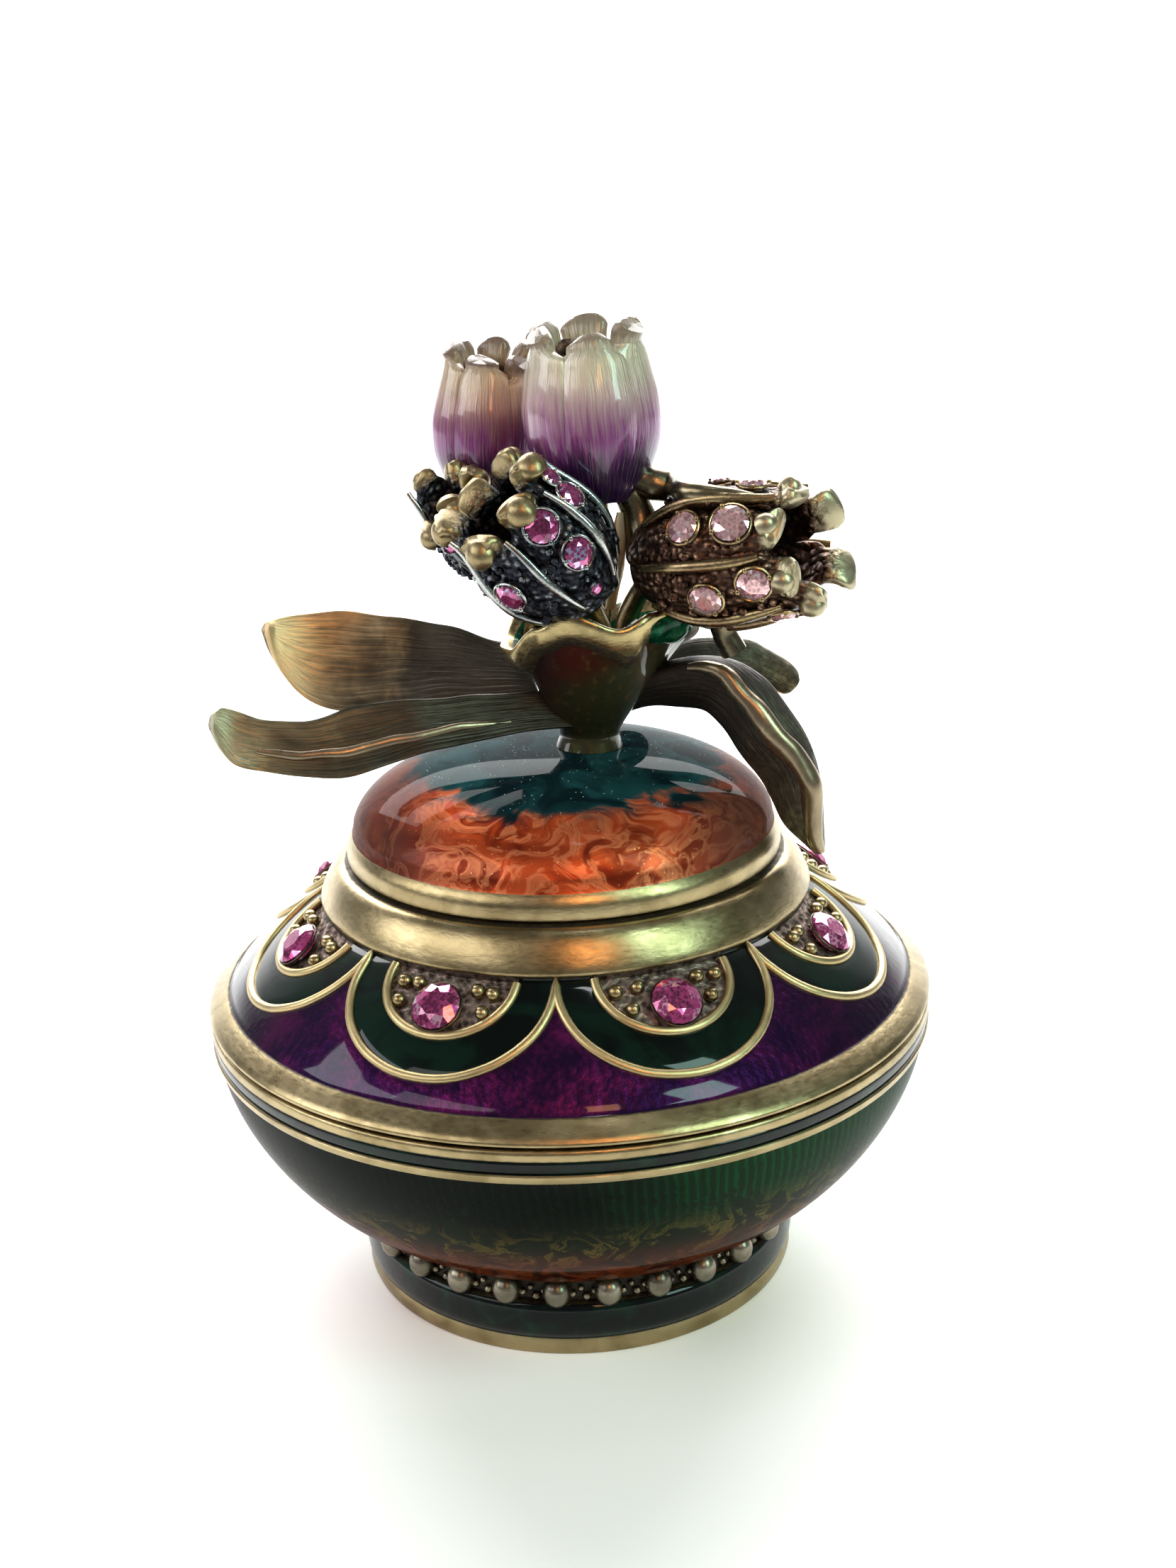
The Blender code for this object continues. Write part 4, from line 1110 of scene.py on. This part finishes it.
def add_core(shape, bud, top, zone):
    """Closed heart of a bud, so that nothing shows between its petals."""
    turns = np.arange(0.0, 360.0, 15.0)
    rows = [[bud.at(t, d, -0.9 if t > 0.12 else -0.5) for d in turns] for t in np.linspace(0.02, top, 12)]
    rows.append([bud.base + bud.up * bud.length * (top - 0.06) + bud.outward(d) * 0.8 for d in turns])
    # Its lay puts it deep in a crease, so a finish that reads lay paints it dark: painted shade between the
    # petals.
    shape.grid(rows, zone, lay=(0.2, 0.0, 0.7))


def add_stem(shape, points, bud, zone):
    path = curve([spot(*point) for point in points] + [bud.base + bud.up * 0.12 * bud.length], 6)
    shape.grid(wobble(rod(path, 0.9, 14), 2.0, 0.1), zone, lay=(0.5, 0.0, 0.15))


print("A petal's middle line has", CLIMB + ROLL_STEPS, "points.")


# %% [markdown]
# ## The enamelled tulips
# Their enamel runs from deep violet at the foot through plum to a pearly cream, streaked along the
# petals where the brush dragged it. The streaks come from noise read in petal coordinates, stretched
# along the petal, and the same noise moves the border between the colours.

# %% Finishes of the enamelled tulips
def pearl_finish(name, cream, blush, brown_tip):
    """Enamel from violet to cream that ends in a worn, uncoated tip."""
    def look(place, lay):
        streaks = (lay * (2.2, 11.0, 0.0) + place * 0.10).cloud(1.0, 4.0, 0.5)
        fine = (lay * (4.0, 34.0, 0.0) + place * 0.15).cloud(1.0, 3.0)
        along = lay.part("X") + (streaks - 0.5) * 0.34
        colour = along.rise(0.16, 0.34).mix((0.030, 0.004, 0.060), (0.19, 0.022, 0.17))
        colour = along.rise(0.30, 0.50).mix(colour, blush)
        colour = along.rise(0.42, 0.66).mix(colour, cream)
        colour = (fine.rise(0.50, 0.72) * 0.45).mix(colour, (0.30, 0.24, 0.18))
        tip = (along + (fine - 0.5) * 0.3).rise(0.70, 0.90)
        colour = tip.mix(colour, brown_tip)
        # Painted shade on inner faces and side edges, where lay marks a crease.
        crease = (lay.part("Z") + (fine - 0.5) * 0.3).rise(0.30, 0.80)
        return {"Base Color": (crease * 0.8).mix(colour, (0.035, 0.010, 0.022)),
                "Roughness": 0.36 + (fine - 0.5) * 0.2 + tip * 0.15,
                "Metallic": (0.25 + fine * 0.2) * (1 - tip * 0.8),
                "Coat Weight": 1.0 - tip * 0.6, "Height": streaks * 0.16 + fine * 0.07}
    return finish(name, look, Coat_Roughness=0.08, Coat_IOR=1.45)


def heart_look(place, lay):
    grain = place.cloud(1.2, 4.0)
    return {"Base Color": grain.rise(0.35, 0.7).mix((0.030, 0.016, 0.018), (0.20, 0.125, 0.095)),
            "Roughness": 0.35 + grain * 0.2, "Metallic": grain * 0.5, "Height": grain * 0.2}


cream_pearl = pearl_finish("cream_pearl_enamel", (0.45, 0.40, 0.30), (0.40, 0.24, 0.29), (0.20, 0.15, 0.10))
brown_pearl = pearl_finish("brown_pearl_enamel", (0.42, 0.32, 0.22), (0.27, 0.12, 0.15), (0.15, 0.09, 0.06))
dark_heart = finish("dark_flower_heart", heart_look)

# %% [markdown]
# Each tulip has a closed core, six petals whose tips roll outwards, three darker ones that lean in at its
# heart, and a stem. The numbers of a petal are its direction, the height of its tip, the angle and the
# radius of its roll, and how blunt it is. Behind the taller tulip a narrow blade of the same enamel stands.

# %% Build the enamelled tulips
SKIN, HEART, STEM = range(3)
tall = Bud((4.3, 0, 58.0), (-0.05, 0, 1), 41.4, 16.7, 13.7)
second = Bud((-22, 20, 56), (0.06, 0, 1), 37.1, 14.5, 10.8)
for node, skin, bud, stem, petals, hearts in (
        ("tall_tulip", cream_pearl, tall, [(1.6, 0.5, 16.1), (4.3, 0.8, 35.5)],
         ((25, 0.96, 50, 0.8, 0.55), (92, 0.92, -60, 1.6, 0.72), (148, 0.968, 50, 1.0, 0.60),
          (208, 0.96, 55, 0.8, 0.60), (268, 0.968, 60, 0.8, 0.70), (330, 0.96, 55, 0.8, 0.60)),
         ((58, 0.88), (180, 0.92), (300, 0.932))),
        ("second_tulip", brown_pearl, second, [(0, 6, 17.7), (-11.3, 12.4, 38)],
         ((14, 1.0, 45, 0.8, 0.50), (78, 0.96, 25, 0.9, 0.70), (140, 0.92, 50, 0.8, 0.50),
          (200, 0.98, 55, 0.8, 0.6), (262, 1.0, 50, 0.8, 0.7), (322, 0.98, 50, 0.8, 0.6)),
         ((45, 0.88), (112, 0.90), (290, 0.95)))):
    flower = Shape()
    add_core(flower, bud, 0.55, HEART)
    for k, (middle, tip, roll, roll_r, blunt) in enumerate(petals):
        add_petal(flower, bud, middle, tip, 40.0, roll, roll_r, 1.3, SKIN, 1.7 * k, 0.26, blunt=blunt,
                  notch=0.93, edge_dark=0.9)
    for k, (middle, tip) in enumerate(hearts):
        add_petal(flower, bud, middle, tip, 38.0, -70, 1.0, 1.0, HEART, 9 + k, 0.0, inset=1.3)
    add_stem(flower, stem, bud, STEM)
    if bud is tall:
        blade = curve([spot(*at) for at in ((9.0, -4.4, 55.5), (8.4, -5.0, 50), (8.0, -5.2, 43),
                                            (6.0, -3.0, 33))], 8)
        widths = np.interp(np.arange(25), (0, 8, 24), (0.35, 0.75, 0.55))
        flower.grid(wobble(rod(blade, widths, 14, flat=0.5), 2.0, 0.1), SKIN, lay=(0.72, 0.0, 0.0))
    flower.make(node + "_petals", [skin, dark_heart, olive_leaf], node, 60.0)

# %% [markdown]
# ## The jewelled tulips
# These are bare metal, blackened and rubbed bright on the high places, with a painted highlight there too.
# Every petal has a cord along its upper edge, a knob where its tip rolls over, small granules, and one or two
# bezelled stones.

# %% Finishes of the jewelled tulips
def jewelled_finish(name, dark, light, knob):
    """Granulated metal: dark between the grains, light on them as rubbed metal and painted highlight, and
    smooth at the knobs.
    """
    def look(place, lay):
        grains = place.cells(1.3)
        fine = place.cloud(1.6, 4.0)
        # Light on the grains: rubbed metal, and a painted highlight as well.
        high = (0.9 - grains + (fine - 0.5) * 0.5).rise(0.45, 0.85)
        along = (lay.part("X") + (fine - 0.5) * 0.2).rise(0.70, 0.88)
        colour = (high * 0.8).mix(dark, light)
        # Patina and painted shade in creases, on inner faces and along side edges.
        crease = (lay.part("Z") + (fine - 0.5) * 0.4).rise(0.35, 0.9)
        colour = crease.mix(along.mix(colour, knob), (0.010, 0.007, 0.008))
        return {"Base Color": colour, "Roughness": 0.26 + fine * 0.22, "Metallic": 0.95 - crease * 0.4,
                "Height": (1 - grains) * 0.36 * (1 - along) + fine * 0.05}
    return finish(name, look)


gunmetal = jewelled_finish("granulated_gunmetal", (0.020, 0.022, 0.030), (0.28, 0.30, 0.33),
                           (0.27, 0.21, 0.11))
bronze = jewelled_finish("granulated_bronze", (0.060, 0.032, 0.022), (0.40, 0.25, 0.17), (0.36, 0.31, 0.20))
gun_cord = brass_finish("bright_gunmetal_cord", (0.50, 0.52, 0.50), (0.16, 0.17, 0.18), (0.02, 0.02, 0.02),
                        0.22, 2.0)
bronze_cord = brass_finish("olive_bronze_cord", (0.36, 0.27, 0.14), (0.18, 0.12, 0.07), (0.02, 0.015, 0.01),
                           0.28, 2.0)

# %% [markdown]
# One function builds all three from lists of petals and stones. It scatters granules over each petal and
# leaves out those that would touch a stone. The knobs are rods whose steps crowd at both ends, which
# rounds them off. Arms from one stem to the next are rods through a few points.

# %% Build the jewelled tulips
METAL, CORD, JEWEL, TRIM = range(4)
KNOB_STEPS = np.radians(np.linspace(12.0, 168.0, 11))
GRANULES = 24


def add_knob(shape, bud, middle, tip, roll, roll_r, size, seed):
    """Long round knob that a rolled tip ends in, and a little beyond it."""
    line = tip_path(bud, tip, roll, roll_r)
    line = np.vstack([line[CLIMB - 2:], line[-1] + 0.7 * size * unit(line[-1] - line[-2])])
    walked = np.append(0.0, np.cumsum(np.linalg.norm(np.diff(line, axis=0), axis=1)))
    places = walked[-1] * 0.5 * (1.0 - np.cos(KNOB_STEPS))
    reaches, heights = (np.interp(places, walked, line[:, k]) for k in (0, 1))
    path = [bud.base + bud.up * h + bud.outward(middle) * (r - 0.3) for r, h in zip(reaches, heights)]
    shape.grid(wobble(rod(path, size * np.sin(KNOB_STEPS), 16), 1.5, 0.12, seed), METAL, lay=(1.0, 0.0, 0.0))


def jewelled(node, bud, stem, finishes, petals, stones, half, knob, cord, seed, arms=()):
    """petals: (middle, tip, roll, roll radius). stones: (share of length, degrees, radius). half: a petal's
    angle to each side. knob and cord: their radii. arms: (points, radii) of rods."""
    flower = Shape()
    add_core(flower, bud, 0.5, METAL)
    chance = np.random.default_rng(seed)
    for k, (middle, tip, roll, roll_r) in enumerate(petals):
        add_petal(flower, bud, middle, tip, half, roll, roll_r, 1.1, METAL, 2.3 * k + seed, 0.3, blunt=0.70,
                  notch=0.90)
        edge = []
        for t in np.linspace(0.10, tip - 0.12, 16):
            narrow = math.sqrt(max(0.0, 1.0 - max(0.0, (t / tip - 0.62) / 0.50) ** 2.4))
            edge.append(bud.at(t, middle + half * 0.93 * narrow, 0.30 * min(1.0, 3.0 * t)))
        radii = [cord + 0.7 * cord * math.sin(math.pi * j / 15) for j in range(16)]
        flower.grid(rod(edge, radii, 10), CORD, lay=(0.5, 0.0, 0.0))
        add_knob(flower, bud, middle, tip, roll, roll_r, knob, k)
        for _ in range(GRANULES):
            t, off = chance.uniform(0.15, 0.8) * tip, chance.uniform(-0.8, 0.75) * half
            size = chance.uniform(0.25, 0.50)
            near = min([math.hypot((t - a) * bud.length, math.radians((middle + off - b + 180) % 360 - 180)
                                   * bud.reach(t)) - c for a, b, c in stones])
            if near > size * 0.9:
                flower.grid(ball(bud.at(t, middle + off, 0.05), size, 8), METAL, lay=(0.5, 0.0, 0.0))
    for k, (t, degrees, radius) in enumerate(stones):
        slant = (bud.reach(t + 0.05) - bud.reach(t - 0.05)) / (0.1 * bud.length)
        out = unit(bud.outward(degrees) - bud.up * slant)
        seat = bud.at(t, degrees, 0.15)
        add_stone(flower, seat + out * 0.28, out, radius * 0.93, JEWEL, seed + k)
        add_bezel(flower, seat + out * 0.26, out, radius, 0.16, CORD if radius > 0.8 else METAL, beads=4)
    add_stem(flower, stem, bud, TRIM)
    for points, radii in arms:
        path = curve(points, 6)
        sizes = np.interp(np.linspace(0, 1, len(path)), np.linspace(0, 1, len(radii)), radii)
        flower.grid(wobble(rod(path, sizes, 12), 2.0, 0.1), TRIM, lay=(0.4, 0.0, 0.2))
    flower.make(node.replace("tulip", "petals"), finishes, node, 60.0)


left_bud = Bud((2.2, -14.2, 37.6), (-0.66, -0.12, 0.74), 35, 15.3, 13.4)
right_bud = Bud((13.4, -7.5, 44.4), (0.90, -0.38, 0.12), 42.5, 15.9, 14.2)
back_bud = Bud((-19.1, 3.2, 41.4), (-0.52, -0.04, 0.85), 25.8, 8.9, 8.3)
jewelled("left_jewelled_tulip", left_bud, [(2.2, -5.4, 17.7), (4.3, -9.1, 27.4)],
         [gunmetal, gun_cord, ruby_stone, olive_leaf],
         ((49, 0.90, 70, 1.0), (107, 0.93, 60, 1.0), (155, 1.04, 50, 1.0), (235, 1.06, 60, 1.0),
          (292, 1.04, 70, 1.0), (352, 1.08, 70, 1.0)),
         ((0.69, 109, 1.5), (0.42, 114, 1.4), (0.16, 106, 0.66), (0.49, 46, 1.4), (0.66, 152, 1.3),
          (0.82, 158, 1.0), (0.55, 350, 1.2)), 34.0, 1.35, 0.25, 3)
right_arm = ([right_bud.at(0.72, 26, 0.2), right_bud.at(0.55, 24, 0.35), right_bud.at(0.36, 20, 0.7),
              spot(22.0, -5.5, 61.0), spot(17.0, -3.5, 61.5), spot(11.5, -2.5, 63.5)],
             [0.45, 0.7, 0.95, 1.25, 1.4, 1.2])
right_neck = ([spot(*at) for at in ((11.0, -2.0, 60.0), (13.2, -2.0, 54.5), (14.0, -4.0, 49.5),
                                    (14.5, -7.5, 45.5))], [1.3, 1.5, 1.6, 1.7])
right_spur = ([spot(30, -14, 36), spot(31.5, -12.5, 29), spot(34, -12, 23.5)], [1.25, 1.05, 1.15])
jewelled("right_jewelled_tulip", right_bud, [(7.3, -0.5, 17.7), (10.8, -3.8, 32.8)],
         [bronze, bronze_cord, rose_stone, olive_leaf],
         ((54, 0.88, 60, 0.9), (108, 0.94, 60, 0.9), (150, 1.04, 60, 0.9), (232, 1.08, 80, 1.0),
          (298, 1.04, 80, 1.0), (358, 0.95, 60, 0.9)),
         ((0.38, 54, 1.45), (0.63, 54, 1.7), (0.46, 112, 1.5), (0.72, 104, 1.5), (0.79, 154, 1.2),
          (0.69, 5, 1.35), (0.50, 0, 0.8), (0.5, 210, 1.4)), 33.0, 1.05, 0.33, 5,
         (right_arm, right_neck, right_spur))
jewelled("back_jewelled_tulip", back_bud, [(-4, 1.1, 18.8), (-9.7, 4.6, 31.7)],
         [gunmetal, gun_cord, ruby_stone, olive_leaf],
         ((20, 0.74, 80, 0.8), (92, 0.86, 80, 0.8), (164, 0.95, 80, 0.8), (236, 1.05, 60, 0.8),
          (300, 1.16, 40, 0.8)),
         ((0.5, 60, 0.8), (0.5, 200, 0.9)), 40.0, 1.1, 0.22, 7)

# %% [markdown]
# ## Camera, floor and light
# The camera stands where the photographer did: a little above the box and looking slightly down, with
# its place and tilt worked out from the box's known circles. The floor is a pale seamless sheet, lit so
# evenly that it nearly vanishes. Large soft lights draw the long reflections that make enamel read as
# glass, and two narrow coloured ones stand for the warm and cool windows of the room.

# %% The camera
EYE = Vector((0.0, -158.07, 96.99)) * MM
PITCH, YAW, ROLL = (math.radians(a) for a in (17.96, 0.72, -2.15))
IMAGE_SIZE, FOCAL_PIXELS, SENSOR = (1659, 2212), 2600.0, 36.0
ahead = Vector((math.sin(YAW) * math.cos(PITCH), math.cos(YAW) * math.cos(PITCH), -math.sin(PITCH)))
level = Vector((math.cos(YAW), -math.sin(YAW), 0.0))
upright = level.cross(ahead)
right_of = math.cos(ROLL) * level + math.sin(ROLL) * upright
up_of = -math.sin(ROLL) * level + math.cos(ROLL) * upright

lens = bpy.data.cameras.new("photographer")
lens.sensor_width = SENSOR
lens.lens = SENSOR * FOCAL_PIXELS / IMAGE_SIZE[1]
lens.shift_x = 0.0027
lens.clip_start, lens.clip_end = 0.01, 5.0
camera = bpy.data.objects.new("photographer", lens)
camera.matrix_world = Matrix.Translation(EYE) @ Matrix((right_of, up_of, -ahead)).transposed().to_4x4()
bpy.context.scene.collection.objects.link(camera)
bpy.context.scene.camera = camera
bpy.context.scene.view_settings.view_transform = "Standard"
print("The lens is", round(lens.lens, 1), "mm.")

# %% [markdown]
# The floor is one sheet of paper that bends up behind the box, so no corner shows. In front of the box,
# where the camera doesn't see it, it fades to grey, or it would brighten the dark belly from below.

# %% The floor
def floor_look(place, lay):
    """White paper that fades to grey in front of the box, out of the camera's sight."""
    front = place.part("Y").rise(-70.0, -170.0)
    return {"Base Color": front.mix((0.93, 0.93, 0.93), (0.16, 0.16, 0.17)), "Roughness": 0.8 + front * 0.1}


HALF_SHEET, BEND_AT, BEND_R, SHEET_TOP, UNDER = 1.2, 0.5, 0.4, 1.6, 0.00001
sheet = bpy.data.meshes.new("pale_sheet")
arc = [(-HALF_SHEET, 0.0), (BEND_AT, 0.0)]
arc += [(BEND_AT + BEND_R * math.sin(t), BEND_R - BEND_R * math.cos(t))
        for t in np.linspace(0.1, 0.5 * math.pi, 14)]
arc += [(BEND_AT + BEND_R, SHEET_TOP)]
corners = [(x, y, z - UNDER) for y, z in arc for x in (-HALF_SHEET, HALF_SHEET)]
sheet.from_pydata(corners, [], [(2 * k, 2 * k + 1, 2 * k + 3, 2 * k + 2) for k in range(len(arc) - 1)])
sheet.shade_smooth()
sheet.materials.append(finish("pale_sheet", floor_look))
floor = bpy.data.objects.new("pale_sheet", sheet)
bpy.context.scene.collection.objects.link(floor)
print("The floor has", len(sheet.polygons), "faces.")

# %% [markdown]
# The light from behind is the strongest and the largest. Its reflection runs over the dome and the lid,
# as in the photo. The others are smaller and weaker, and the sky is a dim cool grey.

# %% The lights
MIDDLE = (0.0, 0.0, 0.04)
for name, place, target, size, watts, colour in (
        ("back_softbox", (0.0, 0.70, 0.62), (0.0, 0.05, 0.0), (1.4, 0.6), 26.0, (1.0, 1.0, 1.0)),
        ("left_softbox", (-0.72, -0.10, 0.40), MIDDLE, (0.40, 0.40), 2.6, (0.93, 0.96, 1.0)),
        ("fill_softbox", (-0.46, -0.40, 0.46), MIDDLE, (0.36, 0.36), 1.2, (1.0, 0.98, 0.95)),
        ("mint_window", (0.37, -0.32, 0.38), MIDDLE, (0.15, 0.42), 2.2, (0.62, 1.0, 0.88)),
        ("warm_window", (0.09, -0.48, 0.42), MIDDLE, (0.09, 0.30), 0.9, (1.0, 0.45, 0.18)),
        ("small_window", (0.045, -0.05, 0.70), MIDDLE, (0.03, 0.07), 0.12, (0.95, 0.97, 1.0))):
    light = bpy.data.lights.new(name, "AREA")
    light.shape, light.size, light.size_y = "RECTANGLE", size[0], size[1]
    light.energy, light.color = watts, colour
    lamp = bpy.data.objects.new(name, light)
    lamp.location = place
    lamp.rotation_euler = (Vector(target) - Vector(place)).to_track_quat("-Z", "Y").to_euler()
    bpy.context.scene.collection.objects.link(lamp)
    print(name, "gives", watts, "W")

world = bpy.data.worlds.new("studio")
world.use_nodes = True
sky = world.node_tree.nodes["Background"]
sky.inputs["Color"].default_value = (0.90, 0.95, 1.0, 1.0)
sky.inputs["Strength"].default_value = 0.16
bpy.context.scene.world = world
